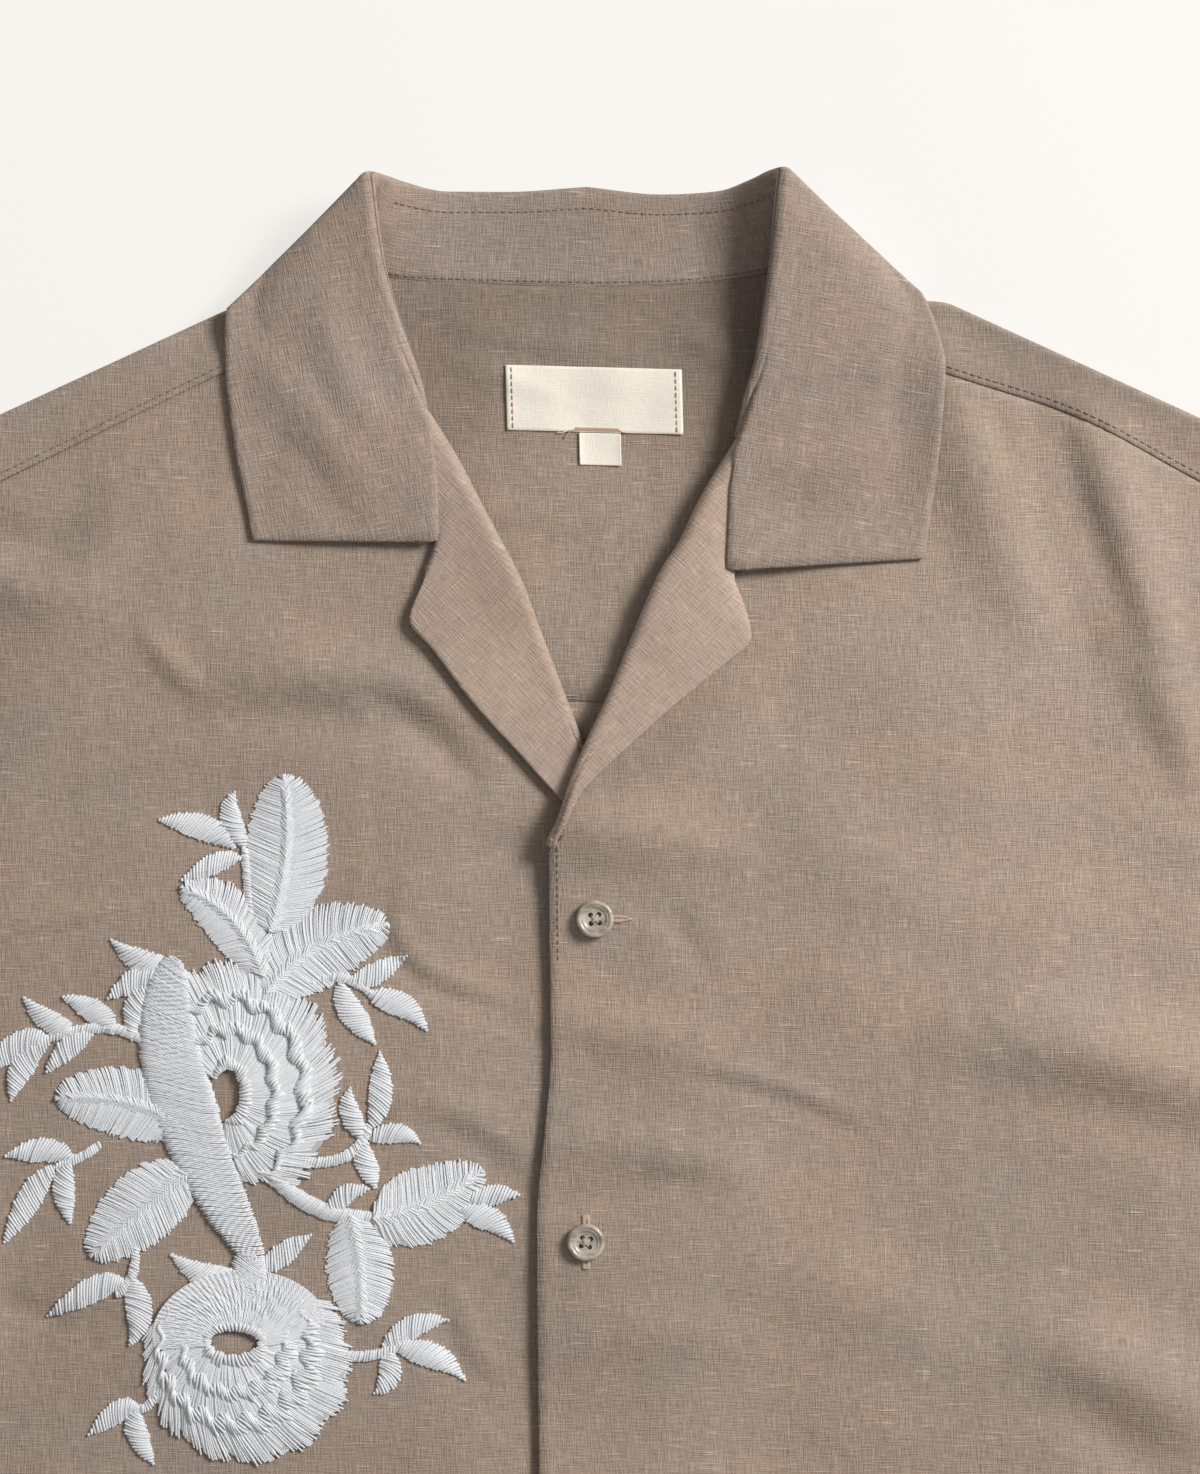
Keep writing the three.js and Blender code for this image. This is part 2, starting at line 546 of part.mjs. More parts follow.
// Neck label and size tab, sewn flat on the inside of the yoke.
const LABEL_CLOTH = 0.7;
const TAG_TILT = THREE.MathUtils.degToRad(-1.5);
const TAGS = [
  { name: 'label', x: 2, drop: 72, width: 54.7, height: 20, cells: [5, 3] },
  { name: 'size_tab', x: 3.8, drop: 87.4, width: 12.8, height: 9.8, cells: [2, 2] },
];
const yokeTop = topOf(yoke);
for (const tag of TAGS) {
  const centre = place(tag.x, tag.drop, 0);
  const grid = range(tag.cells[1]).map((down) => range(tag.cells[0]).map((across) => {
    const corner = new THREE.Vector3((across - 0.5) * tag.width, (0.5 - down) * tag.height, 0);
    corner.applyAxisAngle(new THREE.Vector3(0, 0, 1), TAG_TILT).add(centre);
    return corner.setZ(yokeTop(corner.x, corner.y) + GAP + LABEL_CLOTH / 2);
  }));
  addPiece(tag.name, wall(grid, LABEL_CLOTH, { flip: true }), LABEL_CREAM, 0.8);
}

// Buttons: turned discs with a raised rim, four sewing holes and a flat back.
const BUTTON = { radius: 5.7, height: 2.4, rim: 1.1, dish: 0.5, edge: 0.45, sides: 18 };
const BUTTON_HOLE = { radius: 0.8, spread: 1.25, sides: 6 };
const BUTTONS = table(['x', 'drop'], [[2.2, 233.8], [-0.6, 334.4], [0.4, 435], [0, 536], [0.2, 636]]);

function solidOf(geometry) {
  const bare = geometry.clone();
  for (const name of ['normal', 'uv']) bare.deleteAttribute(name);
  const merged = mergeVertices(bare, 1e-4);
  return new wasm.Manifold(new wasm.Mesh({
    numProp: 3,
    vertProperties: new Float32Array(merged.attributes.position.array),
    triVerts: new Uint32Array(merged.index.array),
  }));
}

function geometryOf(solid) {
  const mesh = solid.getMesh();
  const geometry = new THREE.BufferGeometry();
  geometry.setAttribute('position', new THREE.Float32BufferAttribute(mesh.vertProperties, 3));
  geometry.setIndex([...mesh.triVerts]);
  return geometry;
}

function buttonGeometry() {
  const { radius, height, rim, dish, edge, sides } = BUTTON;
  const profile = [
    [0, 0], [radius - edge, 0], [radius, edge], [radius, height - edge], [radius - edge, height],
    [radius - rim, height], [radius - 2 * rim, height - dish], [0, height - dish],
  ].map(([x, y]) => new THREE.Vector2(x, y));
  let solid = solidOf(new THREE.LatheGeometry(profile, sides).rotateX(Math.PI / 2));
  for (const [x, y] of [[1, 1], [1, -1], [-1, 1], [-1, -1]]) {
    const { radius: bore, sides: around } = BUTTON_HOLE;
    const hole = new THREE.CylinderGeometry(bore, bore, 3 * height, around);
    hole.rotateX(Math.PI / 2).translate(x * BUTTON_HOLE.spread, y * BUTTON_HOLE.spread, 0);
    solid = solid.subtract(solidOf(hole));
  }
  return geometryOf(solid);
}

const leftTop = topOf(fronts.left);
BUTTONS.forEach(({ x, drop }, i) => {
  const button = addPiece(`button_${i + 1}`, buttonGeometry(), BUTTON_PEARL, 0.35);
  const { y } = place(x, drop, 0);
  const under = [0, 60, 120, 180, 240, 300].map((degrees) => {
    const angle = THREE.MathUtils.degToRad(degrees);
    return leftTop(x + BUTTON.radius * Math.cos(angle), y + BUTTON.radius * Math.sin(angle));
  });
  button.position.set(x, y, Math.max(leftTop(x, y), ...under) + GAP);
});

// Raised satin stitch on the right front: leaves and stems along bent spines, and ruffled
// petals in rings round the open hearts of two flowers. Each is a pad with a high ridge and
// a lower rim. Bearings are in degrees from the x axis.
const PAD = { rim: 0.55, rib: 1.15, clear: 0.25, point: 0.35 };
const LEAF_SHAPES = {
  broad: { steps: 5, power: 0.55, skew: 0.85 },
  bract: { steps: 5, power: 0.5, skew: 0.95 },
  small: { steps: 3, power: 0.9, skew: 0.9 },
  stem: { steps: 2, power: 0.15, skew: 1 },
};
const LEAVES = table(['shape', 'rootX', 'rootDrop', 'midX', 'midDrop', 'tipX', 'tipDrop', 'width'], [
  ['broad', -98, 232, -95, 211, -97, 190, 25], ['broad', -101, 252, -111, 234, -127, 224, 17],
  ['broad', -100, 257, -85, 243, -62, 236, 24], ['broad', -126, 299, -144, 291, -166, 290, 21],
  ['broad', -125, 313, -139, 324, -155, 339, 22], ['broad', -67, 327, -51, 323, -33, 312, 23],
  ['broad', -74, 326, -71, 344, -71, 360, 20], ['bract', -129, 247, -127, 288, -103, 342, 19],
  ['bract', -104, 340, -105, 350, -99, 362, 13], ['small', -104, 343, -95, 339, -86, 332, 7],
  ['small', -106, 346, -118, 347, -130, 338, 8], ['stem', -105, 234, -106, 222, -107, 212, 2.4],
  ['stem', -86, 254, -77, 252, -68, 257, 2.6], ['stem', -126, 252, -131, 249, -136, 252, 3],
  ['stem', -133, 277, -148, 268, -170, 272, 3], ['stem', -152, 304, -158, 308, -166, 311, 2.6],
  ['stem', -92, 309, -76, 308, -68, 298, 3], ['stem', -99, 313, -84, 324, -66, 327, 5],
  ['stem', -141, 336, -142, 345, -147, 351, 2.6], ['stem', -78, 369, -69, 370, -58, 367, 3],
  ['stem', -134, 381, -138, 386, -143, 386, 2.6], ['small', -110, 212, -121, 203, -134, 203, 8],
  ['small', -107, 212, -113, 203, -110, 194, 7], ['small', -108, 215, -117, 216, -127, 222, 6.5],
  ['small', -75, 253, -66, 252, -56, 245, 7], ['small', -69, 257, -58, 259, -50, 269, 8],
  ['small', -77, 253, -74, 265, -66, 273, 8], ['small', -129, 250, -137, 249, -149, 240, 8],
  ['small', -131, 251, -141, 251, -150, 259, 7.5], ['small', -136, 254, -143, 262, -142, 272, 7],
  ['small', -148, 270, -153, 261, -164, 258, 7.5], ['small', -160, 270, -167, 267, -176, 258, 7],
  ['small', -154, 270, -163, 273, -169, 282, 7], ['small', -167, 271, -178, 278, -180, 291, 8],
  ['small', -168, 271, -180, 272, -189, 283, 8], ['small', -160, 309, -171, 304, -182, 308, 7.5],
  ['small', -166, 311, -175, 321, -182, 335, 8], ['small', -161, 309, -165, 319, -161, 329, 7],
  ['small', -68, 299, -63, 287, -65, 275, 7.5], ['small', -70, 303, -75, 295, -74, 286, 6.5],
  ['small', -69, 302, -60, 299, -52, 304, 6.5], ['small', -69, 303, -70, 311, -66, 318, 7],
  ['small', -38, 321, -31, 320, -21, 320, 6.5], ['small', -40, 324, -31, 326, -23, 335, 8],
  ['small', -82, 325, -76, 319, -68, 318, 6], ['small', -144, 347, -155, 348, -169, 358, 8],
  ['small', -142, 345, -138, 356, -143, 367, 8.5], ['small', -64, 367, -56, 360, -43, 359, 7],
  ['small', -60, 367, -49, 368, -38, 378, 8], ['small', -62, 368, -60, 376, -67, 382, 7],
  ['small', -140, 386, -147, 386, -156, 395, 7], ['small', -140, 386, -142, 395, -135, 404, 7],
]);
const RUFFLES = table([
  'kind', 'x', 'drop', 'innerX', 'innerDrop', 'outerX', 'outerDrop',
  'slideX', 'slideDrop', 'from', 'to', 'lobes',
], [
  ['ruffle', -112, 288, 23, 29, 33, 37, 0, -2, -62, 96, 5],
  ['ruffle', -112, 288, 14, 19, 25, 30, 0, -1, -84, 104, 4],
  ['ruffle', -112, 288, 4.6, 8.4, 16, 20, 0, 0, -100, 120, 3],
  ['ruffle', -110, 366, 22, 19, 31, 29, 4, 7, 150, 395, 8],
  ['ruffle', -110, 366, 15, 11, 24, 22, 3, 4, 165, 385, 6],
  ['ruffle', -110, 366, 8, 4.4, 17, 13, 2, 2, 175, 365, 4],
  ['cap', -110, 366, 8.6, 4.8, 28, 21, 3, -1, 8, 172, 1],
]);
const RUFFLE_STEP = 24;
const RUFFLE_RIDGE = 0.25;

function padSolid(rows, across) {
  const cells = rows.slice(1).flatMap((_, i) => range(across).slice(1)
    .map((_, j) => [[i, j], [i + 1, j], [i + 1, j + 1], [i, j + 1]]));
  const corner = ([i, j]) => rows[i][j];
  return solidOf(closedShell(cells, ([i, j]) => `${i},${j}`, corner, (at) => corner(at).clone().setZ(0)));
}

function leafSolid({ shape, rootX, rootDrop, midX, midDrop, tipX, tipDrop, width }) {
  const { steps, power, skew } = LEAF_SHAPES[shape];
  const [root, mid, tip] = [place(rootX, rootDrop, 0), place(midX, midDrop, 0), place(tipX, tipDrop, 0)];
  const bend = mid.multiplyScalar(2).sub(root.clone().add(tip).multiplyScalar(0.5));
  const spine = new THREE.QuadraticBezierCurve3(root, bend, tip);
  const rows = range(steps).map((t) => {
    const half = Math.max((width / 2) * Math.sin(Math.PI * t ** skew) ** power, PAD.point) || PAD.point;
    const crown = lerp(PAD.rim, PAD.rib, Math.min(1, (2 * half) / width));
    const { x, y } = spine.getTangent(t);
    const aside = new THREE.Vector3(-y, x, 0);
    return [-1, 0, 1].map((across) => spine.getPoint(t)
      .addScaledVector(aside, across * half).setZ(across ? PAD.rim : crown));
  });
  return padSolid(rows, 2);
}

function ruffleSolid(ruffle) {
  const steps = Math.ceil((ruffle.to - ruffle.from) / RUFFLE_STEP);
  const rows = range(steps).map((t) => {
    const around = THREE.MathUtils.degToRad(lerp(ruffle.from, ruffle.to, t));
    const inner = place(
      ruffle.x + ruffle.innerX * Math.cos(around), ruffle.drop - ruffle.innerDrop * Math.sin(around), PAD.rim,
    );
    const outer = place(
      ruffle.x + ruffle.slideX + ruffle.outerX * Math.cos(around),
      ruffle.drop + ruffle.slideDrop - ruffle.outerDrop * Math.sin(around), PAD.rim,
    );
    return [inner, inner.clone().lerp(outer, RUFFLE_RIDGE).setZ(PAD.rib), outer];
  });
  return padSolid(rows.reverse(), 2);
}

const motifs = [...LEAVES.map(leafSolid), ...RUFFLES.map(ruffleSolid)];
const joined = motifs.reduce((all, solid) => all.add(solid));
const rightTop = topOf(fronts.right);
joined.decompose().forEach((body, i) => {
  const geometry = geometryOf(body);
  const spots = geometry.attributes.position;
  for (let k = 0; k < spots.count; k += 1) {
    const [x, y, z] = [spots.getX(k), spots.getY(k), spots.getZ(k)];
    spots.setZ(k, rightTop(x, y) + GAP + PAD.clear + z);
  }
  addPiece(`embroidery_${i + 1}`, geometry, THREAD_WHITE, 0.6);
});

export default shirt;
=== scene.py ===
"""Looks of a short-sleeved camp-collar shirt in slubbed linen, laid flat and buttoned.

Places on the cloth are in millimetres: x across from the centre line and drop down from
the top of the collar. Right and left are the wearer's. cloth_shell() turns them into metres.
"""

import math

import bpy
import numpy as np
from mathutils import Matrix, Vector


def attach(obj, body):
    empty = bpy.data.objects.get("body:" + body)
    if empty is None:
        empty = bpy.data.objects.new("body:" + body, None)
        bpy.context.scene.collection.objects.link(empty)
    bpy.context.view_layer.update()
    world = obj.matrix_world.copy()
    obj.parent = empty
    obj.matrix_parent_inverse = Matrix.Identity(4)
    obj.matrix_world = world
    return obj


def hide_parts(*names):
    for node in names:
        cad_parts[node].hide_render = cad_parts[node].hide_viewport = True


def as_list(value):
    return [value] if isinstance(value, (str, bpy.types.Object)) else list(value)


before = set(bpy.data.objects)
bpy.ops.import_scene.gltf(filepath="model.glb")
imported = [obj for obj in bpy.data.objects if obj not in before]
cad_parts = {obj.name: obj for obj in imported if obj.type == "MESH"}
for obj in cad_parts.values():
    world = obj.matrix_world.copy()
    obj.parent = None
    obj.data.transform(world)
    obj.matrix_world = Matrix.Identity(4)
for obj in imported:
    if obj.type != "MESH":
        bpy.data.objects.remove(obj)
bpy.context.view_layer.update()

MM = 0.001
LENGTH = 745.0
NECK_HALF = 75.0
SHOULDER_HALF = 235.0
UNDERARM_DROP = 338.0
BACK_YOKE_DROP = 166.0
SLEEVE_LENGTH = 245.0
SLEEVE_SLOPE = math.radians(30)
CUFF_WIDTH = 185.0
FRONT_LEVEL = 2.9
COLLAR_UNDERLAY = 2.1
SEAM_GAP = 0.3


# ---------------------------------------------------------------- reading tables

def smooth_reader(knots, values):
    """A smooth curve through a table that never swings past its values."""
    knots, values = np.array(knots, float), np.array(values, float)
    spans = np.diff(knots)
    rises = np.diff(values) / spans
    slopes = np.zeros_like(values)
    slopes[0], slopes[-1] = rises[0], rises[-1]
    same = rises[1:] * rises[:-1] > 0
    weights = (2 * spans[1:] + spans[:-1], spans[1:] + 2 * spans[:-1])
    with np.errstate(divide="ignore", invalid="ignore"):
        mean = (weights[0] + weights[1]) / (weights[0] / rises[:-1] + weights[1] / rises[1:])
    slopes[1:-1] = np.where(same, mean, 0)

    def read(at):
        spot = np.clip(np.asarray(at, float), knots[0], knots[-1])
        i = np.clip(np.searchsorted(knots, spot, side="right") - 1, 0, len(spans) - 1)
        t = (spot - knots[i]) / spans[i]
        start, end = values[i], values[i + 1]
        leave, arrive = slopes[i] * spans[i], slopes[i + 1] * spans[i]
        return (
            start * (1 + 2 * t) * (1 - t) ** 2 + leave * t * (1 - t) ** 2
            + end * t * t * (3 - 2 * t) + arrive * t * t * (t - 1)
        )

    return read


def column_reader(rows, knot, value):
    return smooth_reader([row[knot] for row in rows], [row[value] for row in rows])


def smoothstep(value, low, high):
    t = np.clip((np.asarray(value, float) - low) / (high - low), 0, 1)
    return t * t * (3 - 2 * t)


def bell(distance, reach):
    return np.exp(-((distance / reach) ** 2))


def lerp(low, high, t):
    return low + (high - low) * t


# ---------------------------------------------------------------- the cut of the shirt

# drop, x
OUTER_EDGE = [
    (97, 235), (123, 233.5), (150, 227.5), (180, 224), (220, 225), (260, 232.5), (280, 240),
    (300, 250), (320, 263), (UNDERARM_DROP, 278), (380, 275.5), (450, 272), (560, 271), (LENGTH, 274),
]
outer_x = column_reader(OUTER_EDGE, 0, 1)

# x, drop
BACK_NECK = [(0, 37), (30, 36.2), (50, 33.8), (62, 31.5), (70, 28.6), (NECK_HALF, 26)]
back_neck_drop = column_reader(BACK_NECK, 0, 1)

LAPEL_COLUMNS = ("roll_drop", "x", "drop", "roll")
SIDES = {
    "right": {
        "sign": -1,
        "shoulder": (26.4, 100.2),
        # x, drop
        "yoke_seam": [(74, 45.5), (111, 62.5), (184, 97.8), (235, 122.6)],
        # drop, x
        "front_edge": [
            (45.5, -74), (54, -69.5), (62, -65), (68, -60), (71.5, -52.6), (77.5, -48.2), (90, -40.4),
            (103, -33.6), (115, -27.3), (127, -21), (147, -13.4), (169, -5), (181, -0.5), (200, 5.4),
            (209, 8.3), (217, 11), (234, 13), (LENGTH, 13),
        ],
        # roll line drop, then the lapel edge's x and drop, and the roll's radius
        "lapel": [
            (71.5, -50.5, 109, 2.0), (77.5, -46.6, 114.5, 2.1), (90, -46.2, 118, 2.0), (103, -50.5, 128, 1.9),
            (115, -55.3, 140.6, 1.7), (127, -48.8, 149, 1.5), (147, -36.9, 165, 1.2),
            (169, -21.5, 182, 1.0), (181, -13.5, 191, 0.8), (200, 0.4, 205.4, 0.75),
            (209, 6.1, 211.4, 0.6), (216, 10.4, 216.4, 0.3),
        ],
    },
    "left": {
        "sign": 1,
        "shoulder": (24.6, 97.6),
        "yoke_seam": [(74, 48.5), (110.6, 63.8), (147.5, 75.6), (191, 97.5), (235, 120)],
        "front_edge": [
            (48.5, 73.5), (56, 69), (64, 63.5), (74, 57), (79.5, 49), (86, 44.9), (96, 38.6), (106, 33),
            (116, 28.3), (125, 22.5), (147, 13), (165.6, 5.3), (181, -1.9), (194, -6.9), (203, -9.4),
            (212, -11.9), (234, -11.8), (275, -11.3), (300, -13.2), (328, -15.6), (407, -15),
            (500, -13.5), (620, -14.5), (LENGTH, -13),
        ],
        "lapel": [
            (79.5, 48, 118, 2.2), (86, 44.8, 121, 2.3), (96, 44, 124.4, 2.3), (106, 44.6, 129.5, 2.2),
            (116, 50.4, 146, 2), (125, 42.5, 154, 1.8), (147, 27, 166.9, 1.5), (165.6, 15.2, 177.4, 1.2),
            (181, 4.4, 187.4, 1.0), (194, -3, 195.6, 0.8), (203, -7.4, 204.9, 0.6), (211, -11, 211.5, 0.3),
        ],
    },
}
for side in SIDES.values():
    side["seam_drop"] = column_reader(side["yoke_seam"], 0, 1)
    side["edge_x"] = column_reader(side["front_edge"], 0, 1)
    side["lapel_at"] = {
        name: column_reader(side["lapel"], 0, i) for i, name in enumerate(LAPEL_COLUMNS) if i
    }

OVERLAP = {"rise": 3.3, "from": 62, "to": 18}
CROSSING = {"rise": 3.6, "x": 2, "drop": 198, "across": 31, "down": 30}


def left_front_rise(x, drop):
    """The left front climbs onto the right one, and over its lapel."""
    overlap = OVERLAP["rise"] * (1 - smoothstep(x, OVERLAP["to"], OVERLAP["from"]))
    crossing = bell(x - CROSSING["x"], CROSSING["across"]) * bell(drop - CROSSING["drop"], CROSSING["down"])
    return overlap + CROSSING["rise"] * crossing


def underlay(x, drop):
    """The fall of the collar lies under the yoke and lifts what is above it."""
    return COLLAR_UNDERLAY * (1 - smoothstep(drop, 60, 92)) * (1 - smoothstep(np.abs(x), 108, 146))


# Main creases, each bent from one place through a second to a third. A ridge stands up and
# a trough, of height below 0, sinks in; each fades out towards its two ends.
CREASE_COLUMNS = ("x1", "drop1", "x2", "drop2", "x3", "drop3", "width", "height")
CREASES = {
    "left": [
        # from the shoulder down to the armhole
        (114, 66, 124, 102, 140, 142, 13, 2.4), (156, 78, 170, 122, 192, 206, 15, 4.6),
        (148, 84, 157, 112, 172, 150, 6, -1.4), (196, 130, 206, 168, 214, 200, 12, 2.6),
        (171, 168, 180, 186, 189, 204, 9, -1.4), (122, 72, 128, 82, 132, 92, 4, -0.8),
        # across the chest
        (118, 272, 158, 276, 208, 292, 17, 4.2), (140, 288, 165, 293, 192, 305, 13, -1.4),
        (142, 366, 168, 376, 196, 394, 16, 3.8), (152, 386, 166, 397, 178, 411, 12, -1.5),
        (34, 279, 58, 285, 84, 296, 3.5, 0.9), (36, 284, 60, 290, 84, 301, 3.5, -0.7),
        (60, 340, 90, 352, 118, 372, 16, 1.5), (60, 190, 84, 214, 112, 232, 18, 1.6),
        # drawn in at the buttons
        (-10, 206, 10, 206, 44, 213, 9, 1.5), (-10, 226, 4, 222, 24, 229, 5, -0.9),
        (18, 229, 27, 236, 36, 250, 5, -0.8), (-10, 267, 8, 268, 38, 273, 9, 1.3),
        (-8, 306, 14, 304, 46, 311, 9, 1.5), (-13, 278, -4, 277, 6, 279, 6, -0.5),
        (8, 320, 22, 316, 40, 318, 5, -0.8), (-12, 323, 0, 322, 11, 321, 4, -0.6),
        (-8, 366, 20, 362, 52, 368, 10, 1.3), (20, 420, 34, 428, 48, 440, 5, -0.7),
        # further down to the hem
        (60, 470, 120, 480, 190, 500, 20, 3.0), (90, 600, 150, 616, 210, 640, 24, 3.2),
        (40, 560, 60, 620, 66, 700, 20, 2.2),
    ],
    "right": [
        # below the collar and the lapel
        (-68, 164, -52, 175, -38, 189, 7, -2.3), (-112, 160, -80, 157, -50, 166, 10, 2.1),
        (-110, 172, -80, 172, -60, 178, 8, -1.2), (-138, 145, -130, 154, -120, 163, 4.5, 1.3),
        (-190, 110, -172, 118, -158, 104, 10, -2.2), (-182, 126, -166, 132, -150, 122, 10, 2.2),
        (-167, 195, -146, 186, -126, 178, 3, 0.8), (-38, 217, -26, 212, -14, 211, 5, -1.0),
        # round and below the first button
        (-56, 220, -54, 246, -14, 260, 3.2, 1.0), (-60, 226, -57, 250, -16, 266, 3.5, -0.9),
        (-186, 240, -164, 233, -142, 230, 3, 0.8), (-215, 190, -206, 226, -200, 260, 15, 3.0),
        (-51, 296, -36, 304, -20, 317, 5, -0.9), (-47, 354, -43, 366, -36, 377, 4, -0.9),
        (-186, 352, -176, 355, -163, 360, 4, -0.9), (-225, 300, -210, 340, -190, 380, 16, 3.2),
        (-60, 292, -40, 294, -22, 306, 6, 0.9), (-40, 352, -36, 364, -28, 376, 5, 0.8),
        # further down to the hem
        (-200, 470, -130, 500, -60, 520, 20, 3.0), (-215, 640, -150, 616, -80, 600, 24, 3.2),
        (-50, 560, -66, 620, -60, 700, 20, 2.2),
    ],
}
LOFT = {"height": 2.4, "from": 10, "to": 55}
WAVES = [  # pitch, bearing in degrees, phase, height
    (131, 24, 0.3, 0.6), (97, 118, 1.9, 0.5), (73, 71, 4.4, 0.4), (58, 152, 2.6, 0.3),
    (41, 38, 5.3, 0.18), (33, 101, 0.9, 0.14),
]


def waviness(x, drop):
    """Cloth laid down by hand is never quite flat."""
    total = 0
    for pitch, bearing, phase, height in WAVES:
        turn = math.radians(bearing)
        along = x * math.cos(turn) + drop * math.sin(turn)
        total = total + height * np.sin(2 * math.pi * along / pitch + phase)
    return total


def path_reach(x, drop, row):
    """Distance from each place to a bent path, and how far along it the nearest point is."""
    x1, d1, x2, d2, x3, d3 = row[:6]
    best, along = np.full(np.shape(x), 1e9), np.zeros(np.shape(x))
    for s in np.linspace(0, 1, 25):
        middle = 2 * s * (1 - s)
        px = (1 - s) ** 2 * x1 + middle * (2 * x2 - (x1 + x3) / 2) + s * s * x3
        pd = (1 - s) ** 2 * d1 + middle * (2 * d2 - (d1 + d3) / 2) + s * s * d3
        reach = np.hypot(x - px, drop - pd)
        along = np.where(reach < best, s, along)
        best = np.minimum(best, reach)
    return best, along


CREASE_RISE, CREASE_SPREAD = 1.5, 0.9


def crease_height(x, drop, creases):
    height = np.zeros(np.shape(x))
    for row in creases:
        crease = dict(zip(CREASE_COLUMNS, row))
        distance, along = path_reach(x, drop, row)
        fade = 0.35 + 0.65 * np.sin(math.pi * np.clip(along, 0.02, 0.98)) ** 0.8
        reach = CREASE_SPREAD * crease["width"] * (0.7 + 0.3 * fade)
        height += CREASE_RISE * crease["height"] * fade * bell(distance, reach)
    return height


SIDE_SINK = {"depth": 0.6, "reach": 24}
LOWEST = 2.2
HEM = 20


def front_level(side, x, drop):
    """Middle of a front's cloth above the surface."""
    x, drop = np.broadcast_arrays(np.asarray(x, float), np.asarray(drop, float))
    left = side["sign"] > 0
    inward = outer_x(drop) - np.abs(x)
    near_side = 1 - smoothstep(inward, 0, SIDE_SINK["reach"])
    below_arm = smoothstep(drop, UNDERARM_DROP - SIDE_SINK["reach"], UNDERARM_DROP)
    sink = SIDE_SINK["depth"] * near_side * below_arm
    folds = crease_height(x, drop, CREASES["left" if left else "right"])
    folds = folds * smoothstep(inward, 0, 2 * SIDE_SINK["reach"])
    folds = folds * (1 - smoothstep(drop, LENGTH - HEM, LENGTH))
    inside = smoothstep(inward, 0, LOFT["to"])
    loft = LOFT["height"] * inside * smoothstep(np.abs(x), LOFT["from"], LOFT["to"])
    rise = left_front_rise(x, drop) if left else 0
    loose = folds + loft + waviness(x, drop) * inside
    base = FRONT_LEVEL + underlay(x, drop) - sink
    return np.maximum(base + loose, np.minimum(base, LOWEST)) + rise


# ---------------------------------------------------------------- meshes

def points(x, drop, z):
    """Places on the cloth as points in metres."""
    x, drop, z = np.broadcast_arrays(x, drop, z)
    return np.stack([x, LENGTH / 2 - drop, z], axis=-1) * MM


def add_object(name, verts, faces, uv=None, smooth=True):
    mesh = bpy.data.meshes.new(name)
    mesh.from_pydata([tuple(v) for v in verts], [], [tuple(int(i) for i in f) for f in faces])
    mesh.update()
    mesh.polygons.foreach_set("use_smooth", [smooth] * len(mesh.polygons))
    if uv is not None:
        corners = np.zeros(len(mesh.loops), int)
        mesh.loops.foreach_get("vertex_index", corners)
        layer = mesh.uv_layers.new(name="UVMap")
        layer.data.foreach_set("uv", np.asarray(uv, np.float32)[corners].ravel())
    obj = bpy.data.objects.new(name, mesh)
    bpy.context.scene.collection.objects.link(obj)
    return obj


# Painted shade and painted light on the cloth's colour: darker in the neck, under the collar and under the
# lapel's edge, where shade falls, and lighter where light falls most: x, drop, reach across and down, change
PAINTED_LIGHT_PATCHES = {
    "yoke_cloth": [
        (0, 36, 80, 40, -0.31), (44, 62, 20, 44, -0.22), (-46, 62, 16, 40, -0.1), (150, 66, 60, 34, -0.24),
    ],
    "collar_cloth": [
        (0, 12, 62, 30, -0.16), (84, 74, 34, 52, -0.13), (-96, 22, 26, 26, 0.1), (-88, 74, 34, 46, 0.09),
    ],
    "left_front": [
        (142, 150, 26, 44, 0.13), (162, 226, 44, 34, 0.15), (78, 160, 34, 34, 0.05), (4, 262, 22, 20, 0.09),
        (6, 194, 6, 6, -0.1), (15, 186, 8, 7, -0.13), (27, 178, 9, 8, -0.15), (39, 168, 9, 8, -0.12),
    ],
    "right_front": [(-120, 330, 60, 60, -0.04), (-20, 360, 24, 50, -0.05)],
    "left_facing": [(34, 140, 30, 40, 0.1)],
    "right_facing": [(-36, 122, 8, 10, -0.1), (-29, 136, 8, 10, -0.12), (-44, 150, 14, 18, -0.03)],
}


# Painted light and shade: each patch makes the cloth's colour darker or lighter where shade or light falls.
def painted_light_tone(name, verts):
    x, drop = verts[:, 0] / MM, LENGTH / 2 - verts[:, 1] / MM
    tone = np.ones(len(verts))
    for at_x, at_drop, across, down, change in PAINTED_LIGHT_PATCHES.get(name, ()):
        tone += change * np.exp(-((x - at_x) / across) ** 2 - ((drop - at_drop) / down) ** 2)
    return tone


def grid_cells(there, ring):
    rows, columns = there.shape
    nexts = (np.arange(columns) + 1) % columns
    last = columns if ring else columns - 1
    a = (np.arange(rows - 1)[:, None] * columns + np.arange(last)[None, :]).ravel()
    b = (np.arange(rows - 1)[:, None] * columns + nexts[None, :last]).ravel()
    cells = np.stack([a, b, b + columns, a + columns], axis=1)
    return cells[there.ravel()[cells].all(axis=1)]


def grid_normals(flat, cells):
    a, b, c, d = (flat[cells[:, k]] for k in range(4))
    normal = np.cross(c - a, d - b)
    normal /= np.maximum(np.linalg.norm(normal, axis=1, keepdims=True), 1e-12)
    total = np.zeros_like(flat)
    for k in range(4):
        np.add.at(total, cells[:, k], normal)
    return total / np.maximum(np.linalg.norm(total, axis=1, keepdims=True), 1e-12)


